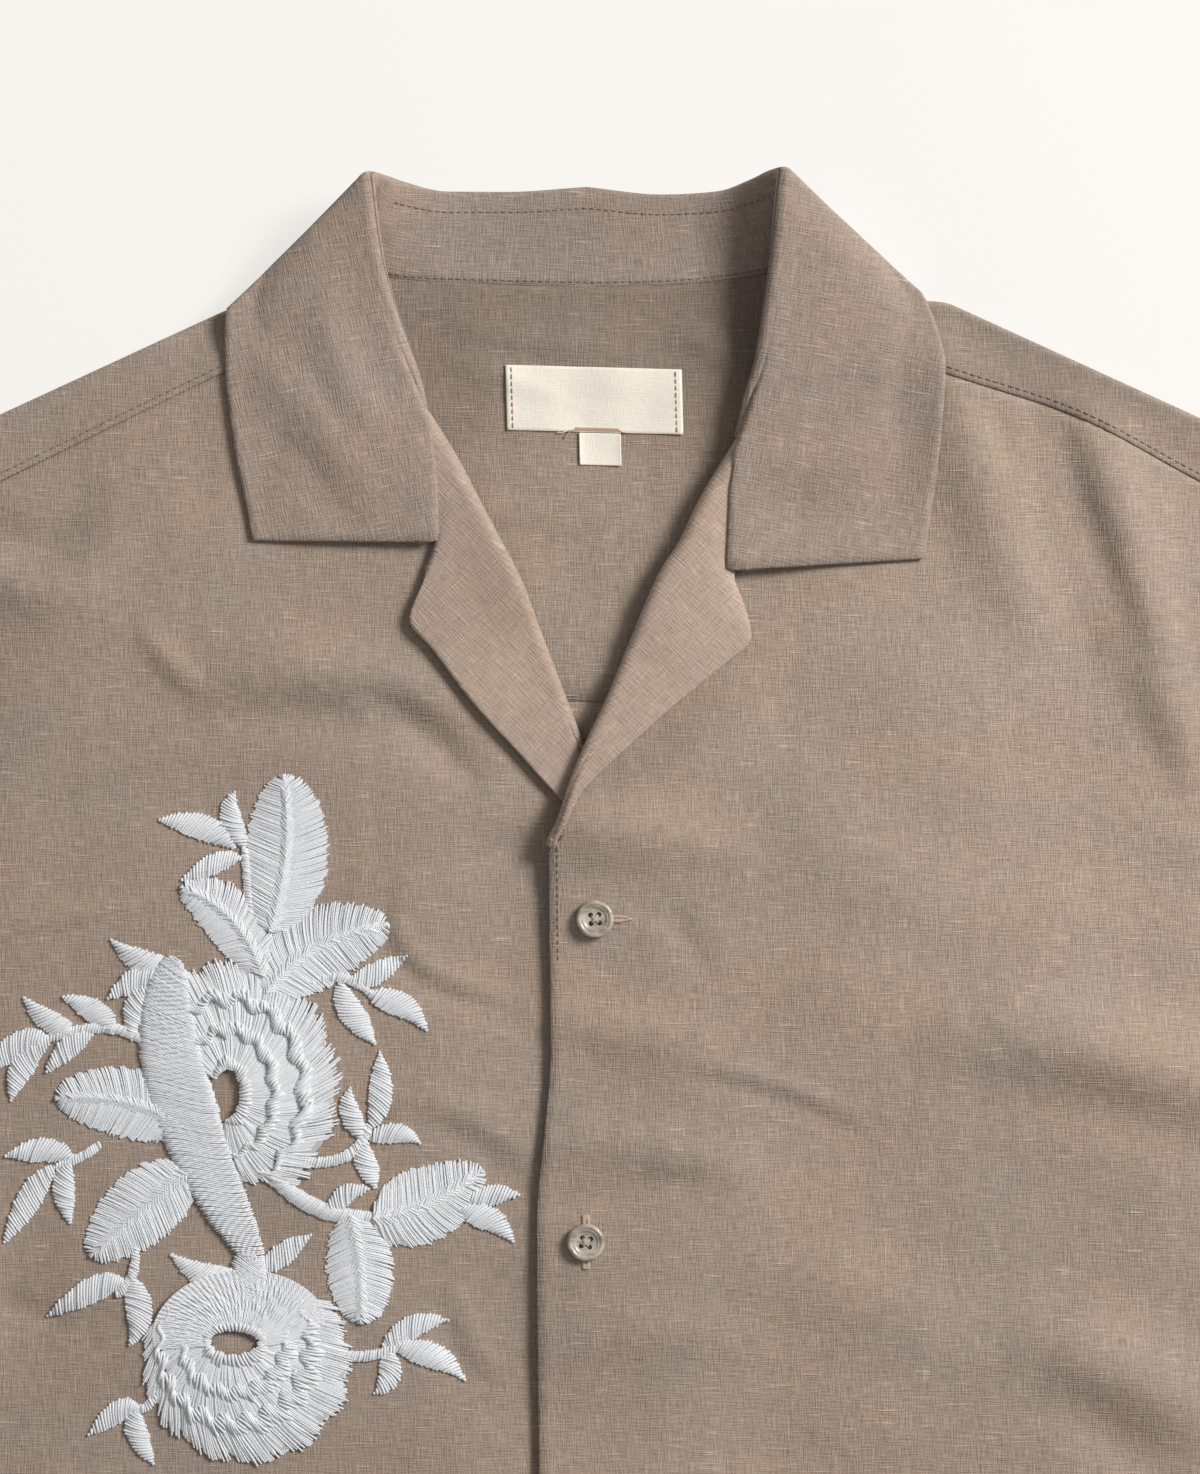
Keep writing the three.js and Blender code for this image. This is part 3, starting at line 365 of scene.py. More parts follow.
def cloth_shell(name, grid, thickness, uv, lift=0.0, flip=False, ring=False, from_column=0):
    """A closed wall of cloth, in metres, on a grid of points that is NaN where there is none.
    Its rim bulges a little, as a turned or pressed edge does."""
    rows, columns = grid.shape[:2]
    flat = grid.reshape(-1, 3)
    cells = grid_cells(~np.isnan(grid[..., 0]), ring)
    if flip:
        cells = cells[:, ::-1]
    normals = grid_normals(np.nan_to_num(flat), cells)
    kept = cells[((cells % columns) >= from_column).all(axis=1)]
    used = np.unique(kept)
    number = np.full(len(flat), -1)
    number[used] = np.arange(len(used))
    kept = number[kept]
    middle = flat[used] + normals[used] * lift
    upper = middle + normals[used] * thickness / 2
    lower = middle - normals[used] * thickness / 2
    edges = np.concatenate([kept[:, [k, (k + 1) % 4]] for k in range(4)])
    ways = set(map(tuple, edges.tolist()))
    rim = np.array([edge for edge in ways if (edge[1], edge[0]) not in ways])
    rim = rim[np.lexsort((rim[:, 1], rim[:, 0]))]
    outward = np.zeros_like(middle)
    away = np.cross(middle[rim[:, 1]] - middle[rim[:, 0]], normals[used][rim[:, 0]])
    away /= np.maximum(np.linalg.norm(away, axis=1, keepdims=True), 1e-12)
    for k in (0, 1):
        np.add.at(outward, rim[:, k], away)
    outward /= np.maximum(np.linalg.norm(outward, axis=1, keepdims=True), 1e-12)
    on_rim = np.unique(rim)
    rim_number = np.full(len(used), -1)
    rim_number[on_rim] = np.arange(len(on_rim)) + 2 * len(used)
    bulge = middle[on_rim] + outward[on_rim] * thickness * 0.35
    count = len(used)
    faces = [*kept, *(kept[:, ::-1] + count)]
    for a, b in rim:
        faces.append((b, a, rim_number[a], rim_number[b]))
        faces.append((rim_number[b], rim_number[a], a + count, b + count))
    flat_uv = uv.reshape(-1, 2)[used]
    verts = np.concatenate([upper, lower, bulge])
    piece = add_object(name, verts, faces, np.concatenate([flat_uv, flat_uv, flat_uv[on_rim]]))
    # The tone attribute carries the painted light and shade of each piece.
    layer = piece.data.attributes.new("tone", "FLOAT", "POINT")
    layer.data.foreach_set("value", painted_light_tone(name, verts).astype(np.float32))
    return piece


# ---------------------------------------------------------------- cloth pieces

SHELL = {"front": 0.9, "yoke": 1.2, "back": 0.9, "collar": 1.5, "facing": 0.9, "sleeve": 0.9}
STACK = 0.55 + 0.3 + 1.0
LAPEL_REST = 1.1 + 0.3 + 0.75
ROLL_COLUMNS = 12
LAPEL_COLUMN_COUNT = 30
BODY_COLUMNS = 96


def roll_at(side, drop):
    """Middle of the lapel's roll at each drop, and the way across the roll line."""
    step = 6.0
    dx = side["edge_x"](drop + step) - side["edge_x"](drop)
    length = np.hypot(dx, step)
    across_x, across_drop = side["sign"] * step / length, -side["sign"] * dx / length
    roll = side["lapel_at"]["roll"](drop)
    inset = roll + STACK * smoothstep(roll, 0.1, 0.8)
    return across_x, across_drop, side["edge_x"](drop) + across_x * inset, drop + across_drop * inset, roll


def front_grid(side):
    first, top = side["front_edge"][0][0], side["lapel"][0][0]
    last_lapel = side["lapel"][-1][0]
    drops = np.concatenate([
        np.linspace(first, top, 14, endpoint=False), np.linspace(top, last_lapel, 62),
        np.arange(last_lapel + 2.4, 412, 2.4), np.linspace(414, LENGTH, 90),
    ])
    turned = (drops >= top) & (drops <= last_lapel + 1e-6)
    share = np.clip((drops - first) / (UNDERARM_DROP - first), 0, 1)
    seam = side["seam_drop"]
    slant = (seam(SHOULDER_HALF) - first) * (1 - smoothstep(share, 0, 1))
    outer_drop = drops + slant
    across_x, across_drop, roll_x, roll_drop, roll = roll_at(side, drops)
    edge_x = np.where(turned, roll_x, side["edge_x"](drops))
    edge_drop = np.where(turned, roll_drop, drops)
    outer = side["sign"] * (outer_x(outer_drop) - SEAM_GAP)
    t = np.linspace(0, 1, BODY_COLUMNS)[None, :]
    x = lerp(outer[:, None], edge_x[:, None], t)
    half = np.clip(np.abs(x), 74, SHOULDER_HALF)
    straight = lerp(seam(SHOULDER_HALF), first, (SHOULDER_HALF - half) / (SHOULDER_HALF - 74))
    bow = (seam(half) - straight) * (1 - smoothstep(drops, first, first + 90))[:, None]
    drop = lerp(outer_drop[:, None], edge_drop[:, None], t) + bow
    body = points(x, drop, front_level(side, x, drop))

    level = front_level(side, roll_x, roll_drop)[:, None]
    angle = np.linspace(0, math.pi, ROLL_COLUMNS + 1)[None, 1:]
    out = -roll[:, None] * np.sin(angle)
    turn = points(
        roll_x[:, None] + across_x[:, None] * out, roll_drop[:, None] + across_drop[:, None] * out,
        level + roll[:, None] * (1 - np.cos(angle)),
    )
    t = np.linspace(0, 1, LAPEL_COLUMN_COUNT + 1)[None, 1:]
    lx = lerp(roll_x[:, None], side["lapel_at"]["x"](drops)[:, None], t)
    ld = lerp(roll_drop[:, None], side["lapel_at"]["drop"](drops)[:, None], t)
    rest = front_level(side, lx, ld) + LAPEL_REST * smoothstep(roll, 0.1, 0.8)[:, None]
    lapel = points(lx, ld, np.maximum(rest, lerp(level + 2 * roll[:, None], rest, t)))
    turned_part = np.concatenate([turn, lapel], axis=1)
    turned_part[~turned] = np.nan
    return np.concatenate([body, turned_part], axis=1)


def flat_uv(grid):
    """Cloth coordinates of a piece that lies as it was cut."""
    return np.nan_to_num(grid[..., :2])


def turned_uv(grid, angle):
    """Cloth coordinates of a piece that is folded over, so its grain lies at an angle."""
    x, y = np.nan_to_num(grid[..., 0]), np.nan_to_num(grid[..., 1])
    cos, sin = math.cos(angle), math.sin(angle)
    return np.stack([x * cos + y * sin, y * cos - x * sin], axis=-1)


def make_fronts():
    made = {}
    for name, side in SIDES.items():
        grid = front_grid(side)
        flip = side["sign"] < 0
        made[f"front_{name}"] = cloth_shell(
            f"{name}_front", grid, SHELL["front"] * MM, flat_uv(grid), flip=flip)
        made[f"facing_{name}"] = cloth_shell(
            f"{name}_facing", grid, SHELL["facing"] * MM, turned_uv(grid, side["sign"] * math.radians(46)),
            lift=-1.3 * MM, flip=flip, from_column=BODY_COLUMNS + 4)
    return made


def make_back():
    drops = np.linspace(BACK_YOKE_DROP + SEAM_GAP, LENGTH, 120)
    t = np.linspace(-1, 1, 90)[None, :]
    half = (outer_x(drops) - SEAM_GAP)[:, None]
    grid = points(-half * t, drops[:, None], 0.6 + 0 * t)
    return cloth_shell("back", grid, SHELL["back"] * MM, flat_uv(grid))


# The yoke is one piece: under the collar at the back, round the shoulder folds and on to
# the front as far as the slanting seams.
YOKE_LOW = 0.8
YOKE_STEP = 0.5
COLLAR_WRAP = 3.8
SHOULDER_LOFT = 3.6
YOKE_ROWS = {"back": 44, "turn": 8, "front": 20}
YOKE_CREASES = [
    (-40, 49, -16, 54, 6, 57, 3.5, 0.8), (-12, 141, 2, 142, 18, 144, 3, 0.6),
    (-30, 104, -10, 108, 12, 106, 5, 0.5), (14, 112, 30, 118, 44, 128, 5, 0.6),
    (-44, 60, -30, 64, -12, 70, 5, 0.6), (26, 50, 40, 56, 52, 66, 5, 0.7),
]


def shoulder_drop(side, half):
    neck, end = side["shoulder"]
    return lerp(neck, end, (half - NECK_HALF) / (SHOULDER_HALF - NECK_HALF))


def yoke_softness(x, drop, neck):
    """Small creases of the yoke, and how far it lies off what is below it."""
    soft = crease_height(x, drop, YOKE_CREASES) + 0.5 + 0.5 * waviness(x * 1.7, drop * 2.1)
    return soft * smoothstep(drop, neck + 2, neck + 16)


def make_yoke():
    halves = np.concatenate([
        np.linspace(0, NECK_HALF - 1, 34, endpoint=False), np.linspace(NECK_HALF, SHOULDER_HALF, 72),
    ])
    columns = []
    for column in np.concatenate([-halves[::-1][:-1], halves]):
        side, half = SIDES["right" if column < 0 else "left"], abs(column)
        wrapped = half >= NECK_HALF
        high = FRONT_LEVEL + SHOULDER_LOFT * smoothstep(half, 112, 140)
        radius = (FRONT_LEVEL - YOKE_LOW) / 2
        tuck = COLLAR_WRAP * (1 - smoothstep(half, 100, 114))
        top = shoulder_drop(side, half) + radius + 0.8 + tuck if wrapped else back_neck_drop(half)
        share = max(half - NECK_HALF, 0) / (SHOULDER_HALF - NECK_HALF)
        across = lambda drop: np.sign(column) * (half + (outer_x(drop) - SEAM_GAP - SHOULDER_HALF) * share)
        drop = lerp(BACK_YOKE_DROP - SEAM_GAP / 2, float(top), np.linspace(0, 1, YOKE_ROWS["back"]) ** 0.8)
        soft = yoke_softness(column + 0 * drop, drop, float(top)) * smoothstep(BACK_YOKE_DROP - drop, 0, 14)
        open_part = 1 - smoothstep(half, 60, 84)
        level = YOKE_LOW + underlay(column, drop) + np.maximum(soft, 0) * open_part
        onto = [points(across(drop), drop, level)]
        angle = np.linspace(0, math.pi, YOKE_ROWS["turn"] + 1)[1:]
        drop = top - radius * np.sin(angle)
        turn = YOKE_LOW + (high - YOKE_LOW) / 2 * (1 - np.cos(angle))
        onto.append(points(across(drop), drop, turn + underlay(column, drop)))
        seam = float(side["seam_drop"](half)) - SEAM_GAP
        drop = lerp(float(top), seam, np.linspace(0, 1, YOKE_ROWS["front"] + 1)[1:])
        level = np.maximum(front_level(side, across(drop), drop), FRONT_LEVEL) + YOKE_STEP
        blend = smoothstep(drop, float(top), seam)
        onto.append(points(across(drop), drop, lerp(high + underlay(column, drop), level, blend)))
        if not wrapped:
            onto[1][:] = onto[2][:] = np.nan
        columns.append(np.concatenate(onto))
    grid = np.stack(columns, axis=1)
    return cloth_shell("yoke_cloth", grid, SHELL["yoke"] * MM, flat_uv(grid))


# ---------------------------------------------------------------- collar

# neck seam, roll and leaf edge at each station from the gorge round to the middle of the back,
# each as x, drop and level; then the roll's radius and how far the gorge's slant is followed.
# The gorge has a share of the way down the leaf, then x, drop and level.
BACK_STATION = (0, 36.6, 2.9, -0.5, 6.2, 2, 0, 59, 0.9, 1.1, 0)
COLLAR_SIDES = {
    "right": {
        "gorge": [
            (0, -49.4, 75.6, 10.2), (0.05, -47.6, 79, 11.6), (0.2, -46.1, 93, 11),
            (0.42, -45.9, 115.4, 9), (1, -104.1, 115.6, 5.2),
        ],
        "stations": [
            (-51.6, 75.2, 4, -50.2, 76.2, 8.6, -104.1, 115.6, 5.2, 1.6, 1),
            (-57.4, 70, 4.4, -52.3, 66.5, 10.8, -106.2, 104, 5.2, 1.8, 0.5),
            (-63.2, 62, 4.9, -56.8, 54, 13.2, -108.8, 92, 5.4, 2, 0.25),
            (-68, 53, 5, -61, 41.5, 15.4, -110.8, 78, 5.8, 2, 0.1),
            (-70.6, 42, 5, -64.4, 28.5, 18, -112.3, 64, 6.6, 2, 0),
            (-72.6, 33, 4.8, -66.5, 14, 20.5, -112.4, 53, 7, 2, 0),
            (-72.6, 26.4, 3.9, -67.6, 3.4, 22.5, -111.8, 44, 3.8, 1.9, 0),
            (-71.2, 25.6, 3.7, -66.4, 3, 19.4, -109.4, 45.4, 1.1, 1.8, 0),
            (-68.8, 30.6, 3.2, -63.3, 3.6, 16, -101, 48, 0.9, 1.7, 0),
            (-60, 34, 2.9, -56, 5.6, 9, -82, 53, 0.9, 1.4, 0),
            (-45, 35.2, 2.9, -44, 7.8, 4.2, -58, 56.5, 0.9, 1.2, 0),
            (-25, 35.9, 2.9, -25, 7.8, 2.2, -30, 58.6, 0.9, 1.1, 0),
            BACK_STATION,
        ],
    },
    "left": {
        "gorge": [
            (0, 45.6, 83.4, 10.4), (0.05, 44.4, 87, 12.2), (0.2, 43, 99, 12),
            (0.42, 42.4, 124.4, 10), (1, 104.4, 121.3, 5.2),
        ],
        "stations": [
            (46.6, 82.4, 4, 46.6, 84.4, 8.9, 104.4, 121.3, 5.2, 1.6, 1),
            (52.8, 74.8, 4.4, 49, 72.5, 11.4, 106.2, 108, 5.2, 1.8, 0.5),
            (59.8, 66, 4.9, 52.6, 60, 14, 108.3, 93, 5.4, 2, 0.25),
            (66.4, 55.4, 5, 55.4, 43, 16.4, 109.8, 78, 5.8, 2, 0.1),
            (70.6, 44, 5, 57.6, 27, 19, 110.6, 62, 6.6, 2, 0),
            (72.4, 33, 4.8, 58.8, 12.8, 21.5, 107.6, 48.5, 7, 2, 0),
            (72.6, 25.6, 3.9, 60, 1.9, 22.6, 103, 39, 3.8, 1.9, 0),
            (71.2, 25.2, 3.7, 59, 1.7, 19.8, 101.4, 41, 1.1, 1.8, 0),
            (68.6, 27, 3.2, 56.5, 2.2, 16.4, 96, 45, 0.9, 1.7, 0),
            (59, 31.4, 2.9, 50, 4.8, 9.2, 80, 51, 0.9, 1.4, 0),
            (44, 34.1, 2.9, 40, 7.8, 4.2, 56, 56, 0.9, 1.2, 0),
            (24, 36, 2.9, 22.5, 8.6, 2.2, 30, 58.4, 0.9, 1.1, 0),
            BACK_STATION,
        ],
    },
}
WRAP_STATION = 6
COLLAR_STEPS = {"stand": 12, "turn": 10, "leaf": 34, "between": 7}
TURN_REACH = math.radians(82)
UNDER_DROOP, WRAP_DROOP = 7, 1.6
COLLAR_REST = 0.8 + 0.3 + 0.9
COLLAR_LOFT, COLLAR_LOWEST = 0.9, 0.9
COLLAR_GRAIN = (math.radians(12), math.radians(-10))
COLLAR_CREASES = [
    (52, 84, 66, 77, 84, 68, 7, -1.3), (56, 104, 64, 107, 76, 106, 7, -1.0), (60, 92, 76, 92, 92, 86, 8, 1.0),
    (-100, 60, -88, 74, -70, 96, 8, 1.0), (-104, 84, -90, 94, -74, 110, 6, -0.9),
    (-80, 44, -78, 62, -66, 80, 7, 0.9),
]


def unit(vectors):
    return vectors / np.maximum(np.linalg.norm(vectors, axis=-1, keepdims=True), 1e-9)


def collar_sections(name):
    """Sections from the gorge to the middle of the back, each up the stand, over and down the leaf."""
    rows = np.array(COLLAR_SIDES[name]["stations"], float)
    gorge = np.array(COLLAR_SIDES[name]["gorge"], float)
    last = len(rows) - 1
    readers = [smooth_reader(np.arange(last + 1), rows[:, k]) for k in range(rows.shape[1])]
    sections = []
    near_roll = np.linspace(0, 0.08, 4, endpoint=False)[1:]
    down = np.concatenate([near_roll, np.linspace(0.08, 1, COLLAR_STEPS["leaf"])])
    leaf_t = down[:, None]
    gorge_line = np.stack([np.interp(down, gorge[:, 0], gorge[:, k]) for k in (1, 2, 3)], axis=1)
    chord = lerp(rows[0, 3:6], rows[0, 6:9], leaf_t)
    for at in np.linspace(0, last, last * COLLAR_STEPS["between"] + 1):
        station = np.array([read(at) for read in readers])
        neck, roll, leaf, turn, notch = station[0:3], station[3:6], station[6:9], station[9], station[10]
        up, out = unit(roll - neck), unit(leaf - roll)
        apex, over = unit(up - out), unit(up + out)
        angle = np.linspace(-TURN_REACH, TURN_REACH, COLLAR_STEPS["turn"] + 1)[:, None]
        on_turn = roll - apex * turn + apex * turn * np.cos(angle) + over * turn * np.sin(angle)
        on_stand = lerp(neck, on_turn[0], np.linspace(0, 1, COLLAR_STEPS["stand"])[:-1, None])
        most = UNDER_DROOP if at > WRAP_STATION else WRAP_DROOP
        droop = lerp(1, most, np.clip(at - WRAP_STATION + 1, 0, 1))
        on_leaf = lerp(on_turn[-1], leaf, leaf_t) + (gorge_line - chord) * notch
        if at < WRAP_STATION:
            side = SIDES[name]
            x, drop = on_leaf[:, 0], on_leaf[:, 1]
            rest = front_level(side, x, drop) + COLLAR_REST
            soft = crease_height(x, drop, COLLAR_CREASES) * smoothstep(down, 0.05, 0.3)
            soft = soft * (1 - smoothstep(at, 4.6, 6))
            loft = COLLAR_LOFT * smoothstep(down, 0.1, 0.4) * (1 - smoothstep(down, 0.6, 0.98))
            on_leaf[:, 2] = np.maximum(on_leaf[:, 2], rest) + np.maximum(soft + loft, 0)
        else:
            level = leaf[2] + (on_turn[-1, 2] - leaf[2]) * (1 - down) ** droop
            on_leaf[:, 2] = np.maximum(level, COLLAR_LOWEST)
        sections.append(np.concatenate([on_stand, on_turn, on_leaf]))
    return np.array(sections)


def run_length(spots):
    """How far each point of a line is from the line's start."""
    steps = np.linalg.norm(np.diff(spots, axis=-2), axis=-1)
    return np.concatenate([np.zeros((*steps.shape[:-1], 1)), np.cumsum(steps, axis=-1)], axis=-1)


def make_collar():
    spots = np.concatenate([collar_sections("right"), collar_sections("left")[::-1][1:]])
    grid = points(spots[..., 0], spots[..., 1], spots[..., 2])
    length = run_length(grid)
    along = run_length(grid[:, COLLAR_STEPS["stand"] + 3])
    uv = np.stack([np.broadcast_to(along[:, None], length.shape), length], axis=-1)
    right, left = (turned_uv(grid, grain) for grain in COLLAR_GRAIN)
    turned = np.where(grid[..., :1] < 0, right, left)
    column, row = np.arange(grid.shape[1])[None, :], np.arange(grid.shape[0])[:, None]
    from_gorge = np.minimum(row, grid.shape[0] - 1 - row)
    fall = (column > COLLAR_STEPS["stand"] + 3) & (from_gorge < (WRAP_STATION + 1) * COLLAR_STEPS["between"])
    uv = np.where(fall[..., None], turned, uv)
    return cloth_shell("collar_cloth", grid, SHELL["collar"] * MM, uv), grid


# ---------------------------------------------------------------- sleeves

SLEEVE_CREASES = {"along": 0.45, "reach": 0.22, "around": 0.5, "spread": 0.3, "height": 3.5}
SLEEVE_GRID = (30, 26)


def make_sleeve(name):
    side = SIDES[name]
    top = side["shoulder"][1]
    way = (math.cos(SLEEVE_SLOPE), math.sin(SLEEVE_SLOPE))
    cuff = (SHOULDER_HALF + SLEEVE_LENGTH * way[0], top + SLEEVE_LENGTH * way[1])
    fine = np.linspace(0, 1, SLEEVE_GRID[1] + 1)
    around = np.concatenate([[0, 0.004], fine[1:-1], [0.996, 1], [0.996], fine[1:-1][::-1], [0.004]])
    over = np.arange(len(around)) > SLEEVE_GRID[1] + 2
    along = np.linspace(0, 1, SLEEVE_GRID[0])[:, None]
    drop_at = lerp(UNDERARM_DROP, top, around)
    cuff_down = CUFF_WIDTH * (1 - around)
    x = lerp(outer_x(drop_at) + 0.7, cuff[0] - cuff_down * way[1], along)
    drop = lerp(drop_at, cuff[1] + cuff_down * way[0], along)
    fold = SLEEVE_CREASES
    ridge = fold["height"] * bell(along - fold["along"], fold["reach"])
    ridge = ridge * bell(around - fold["around"], fold["spread"])
    soft = waviness(x, drop) * np.sin(math.pi * around) ** 0.5 * smoothstep(along, 0, 0.15)
    level = np.where(over, FRONT_LEVEL + ridge + np.maximum(soft, -0.5), 0.6)
    level = np.where((around == 0) | (around == 1), (0.6 + FRONT_LEVEL) / 2, level)
    grid = points(side["sign"] * x, drop, level)
    return cloth_shell(
        f"{name}_sleeve", grid, SHELL["sleeve"] * MM, flat_uv(grid), ring=True, flip=side["sign"] > 0)


# ---------------------------------------------------------------- geometry nodes

class Tree:
    """A node tree under construction."""

    def __init__(self, tree):
        self.tree = tree

    def node(self, kind, links=(), **settings):
        node = self.tree.nodes.new(kind)
        for key, value in settings.items():
            setattr(node, key, value)
        for socket, value in dict(links).items():
            self.put(node.inputs[socket], value)
        return node

    def put(self, socket, value):
        if isinstance(value, bpy.types.NodeSocket):
            self.tree.links.new(value, socket)
        else:
            socket.default_value = value


class ThreadTree(Tree):
    """A geometry tree with named inputs, whose result gets the material of its thread."""

    def __init__(self, name, **inputs):
        super().__init__(bpy.data.node_groups.new(name, "GeometryNodeTree"))
        kinds = {"Geometry": "Geometry", **inputs, "Thread": "Material"}
        for label, kind in kinds.items():
            self.tree.interface.new_socket(label, in_out="INPUT", socket_type=f"NodeSocket{kind}")
        self.tree.interface.new_socket("Geometry", in_out="OUTPUT", socket_type="NodeSocketGeometry")
        self.given = self.node("NodeGroupInput").outputs

    def step(self, kind, links=(), output=0, **settings):
        return self.node(kind, links, **settings).outputs[output]

    def finished(self, geometry):
        dyed_with_painted_light = self.step("GeometryNodeSetMaterial", {"Geometry": geometry, "Material": self.given["Thread"]})
        self.node("NodeGroupOutput", {"Geometry": dyed_with_painted_light})
        return self.tree


THREAD_SIDES = 5
STITCH_SIZES = (0.86, 1.08)


def thread_group():
    """Each edge chain becomes a round thread."""
    tree = ThreadTree("threads", Radius="Float")
    chain = tree.step("GeometryNodeMeshToCurve", {"Mesh": tree.given["Geometry"]})
    profile = tree.step("GeometryNodeCurvePrimitiveCircle", {
        "Resolution": THREAD_SIDES, "Radius": tree.given["Radius"],
    })
    tube = tree.step("GeometryNodeCurveToMesh", {"Curve": chain, "Profile Curve": profile, "Fill Caps": True})
    return tree.finished(tree.step("GeometryNodeSetShadeSmooth", {"Geometry": tube}))


def stitch_group():
    """A stitch at every pitch along a seam line, lying on the cloth."""
    tree = ThreadTree("stitches", Pitch="Float", Stitch="Object", Seed="Int")
    chain = tree.step("GeometryNodeMeshToCurve", {"Mesh": tree.given["Geometry"]})
    spaced = tree.step("GeometryNodeResampleCurve", {
        "Curve": chain, "Length": tree.given["Pitch"],
    }, mode="LENGTH")
    tangent = tree.step("GeometryNodeInputTangent")
    up = tree.step("GeometryNodeInputNamedAttribute", {"Name": "up"}, "Attribute", data_type="FLOAT_VECTOR")
    along = tree.step("FunctionNodeAlignRotationToVector", {"Vector": tangent}, axis="X")
    upright = tree.step("FunctionNodeAlignRotationToVector", {
        "Rotation": along, "Vector": up,
    }, axis="Z", pivot_axis="X")
    stitch = tree.step("GeometryNodeObjectInfo", {"Object": tree.given["Stitch"]}, "Geometry")
    size = tree.step("FunctionNodeRandomValue", {
        2: STITCH_SIZES[0], 3: STITCH_SIZES[1], "Seed": tree.given["Seed"],
    }, 1, data_type="FLOAT")
    row = tree.step("GeometryNodeInstanceOnPoints", {
        "Points": spaced, "Instance": stitch, "Rotation": upright, "Scale": size,
    })
    return tree.finished(tree.step("GeometryNodeRealizeInstances", {"Geometry": row}))


def bake(obj, tree, **values):
    """Runs a node tree on an object and keeps only what it makes."""
    modifier = obj.modifiers.new(tree.name, "NODES")
    modifier.node_group = tree
    names = {item.name: item.identifier for item in tree.interface.items_tree if item.in_out == "INPUT"}
    for label, value in values.items():
        modifier[names[label]] = value
    bpy.context.view_layer.update()
    seen = obj.evaluated_get(bpy.context.evaluated_depsgraph_get())
    mesh = bpy.data.meshes.new_from_object(seen)
    obj.modifiers.clear()
    obj.data = mesh
    return obj


def chains(name, runs, ups=None):
    """Open edge chains in metres, with a direction for up at each point."""
    verts = np.concatenate(runs)
    mesh = bpy.data.meshes.new(name)
    starts = np.cumsum([0] + [len(run) for run in runs[:-1]])
    edges = [
        (int(start + k), int(start + k + 1)) for start, run in zip(starts, runs) for k in range(len(run) - 1)
    ]
    mesh.from_pydata([tuple(v) for v in verts], edges, [])
    if ups is not None:
        layer = mesh.attributes.new("up", "FLOAT_VECTOR", "POINT")
        layer.data.foreach_set("vector", np.asarray(np.concatenate(ups), np.float32).ravel())
    obj = bpy.data.objects.new(name, mesh)
    bpy.context.scene.collection.objects.link(obj)
    return obj


# ---------------------------------------------------------------- label and buttons

TAG_CLOTH = 0.45
TAG_TILT = math.radians(-1.5)
TAG_CURL, TAG_WAVE = 0.35, 0.25
TAGS = {
    # x, drop, width, height
    "label": (2, 72, 54.7, 20), "size_tab": (3.8, 87.4, 12.8, 9.8),
}
TAG_CELLS = (64, 26)


def yoke_top(x, drop):
    soft = yoke_softness(x, drop, back_neck_drop(np.abs(x)))
    return YOKE_LOW + underlay(x, drop) + np.maximum(soft, 0) + SHELL["yoke"] / 2


def on_tag(tag, across, down):
    """A place on a tag, with across and down from its middle in millimetres."""
    x, drop, width, height = TAGS[tag]
    away = np.abs(across) / (width / 2)
    curl = TAG_CURL * away ** 6 * (1 - np.abs(down / (height / 2)) * 0.4)
    curl = curl + TAG_WAVE * np.sin(across * 0.16 + 0.6) ** 2
    px = x + across * math.cos(TAG_TILT) - down * math.sin(TAG_TILT)
    pd = drop - across * math.sin(TAG_TILT) + down * math.cos(TAG_TILT)
    return px, pd, yoke_top(px, pd) + 0.15 + TAG_CLOTH / 2 + curl


def make_tag(tag):
    _, _, width, height = TAGS[tag]
    across = np.linspace(-width / 2, width / 2, TAG_CELLS[0])[None, :]
    down = np.linspace(-height / 2, height / 2, TAG_CELLS[1])[:, None]
    x, drop, z = on_tag(tag, across, down)
    grid = points(x, drop, z)
    uv = np.stack(np.broadcast_arrays(across * MM, down * MM), axis=-1)
    return cloth_shell(f"{tag}_tape", grid, TAG_CLOTH * MM, uv, flip=True)


BUTTON = {"radius": 5.85, "sides": 72}
BUTTON_PROFILE = [
    (0, 0), (5.1, 0), (5.55, 0.12), (5.8, 0.45), (5.85, 1.0), (5.8, 1.7), (5.6, 2.15), (5.25, 2.38),
    (4.85, 2.4), (4.5, 2.26), (4.3, 2.02), (4.15, 1.98), (3.9, 2.05), (3.7, 1.9), (3.4, 1.62),
    (2.9, 1.5), (1.5, 1.46), (0, 1.46),
]
BUTTON_HOLES = {"radius": 0.78, "spread": 1.3}
BUTTONS = [(2.2, 233.8, 4), (-0.6, 334.4, -8), (0.4, 435, 12), (0, 536, 3), (0.2, 636, -5)]


def ring_wall(base, count):
    """Faces between a ring of points and the next ring above it."""
    nexts = [(k + 1) % count for k in range(count)]
    return [(base + k, base + n, base + count + n, base + count + k) for k, n in enumerate(nexts)]


def ring_points(angles, radius, x=0.0, y=0.0):
    return [(x + radius * math.cos(a), y + radius * math.sin(a)) for a in angles]


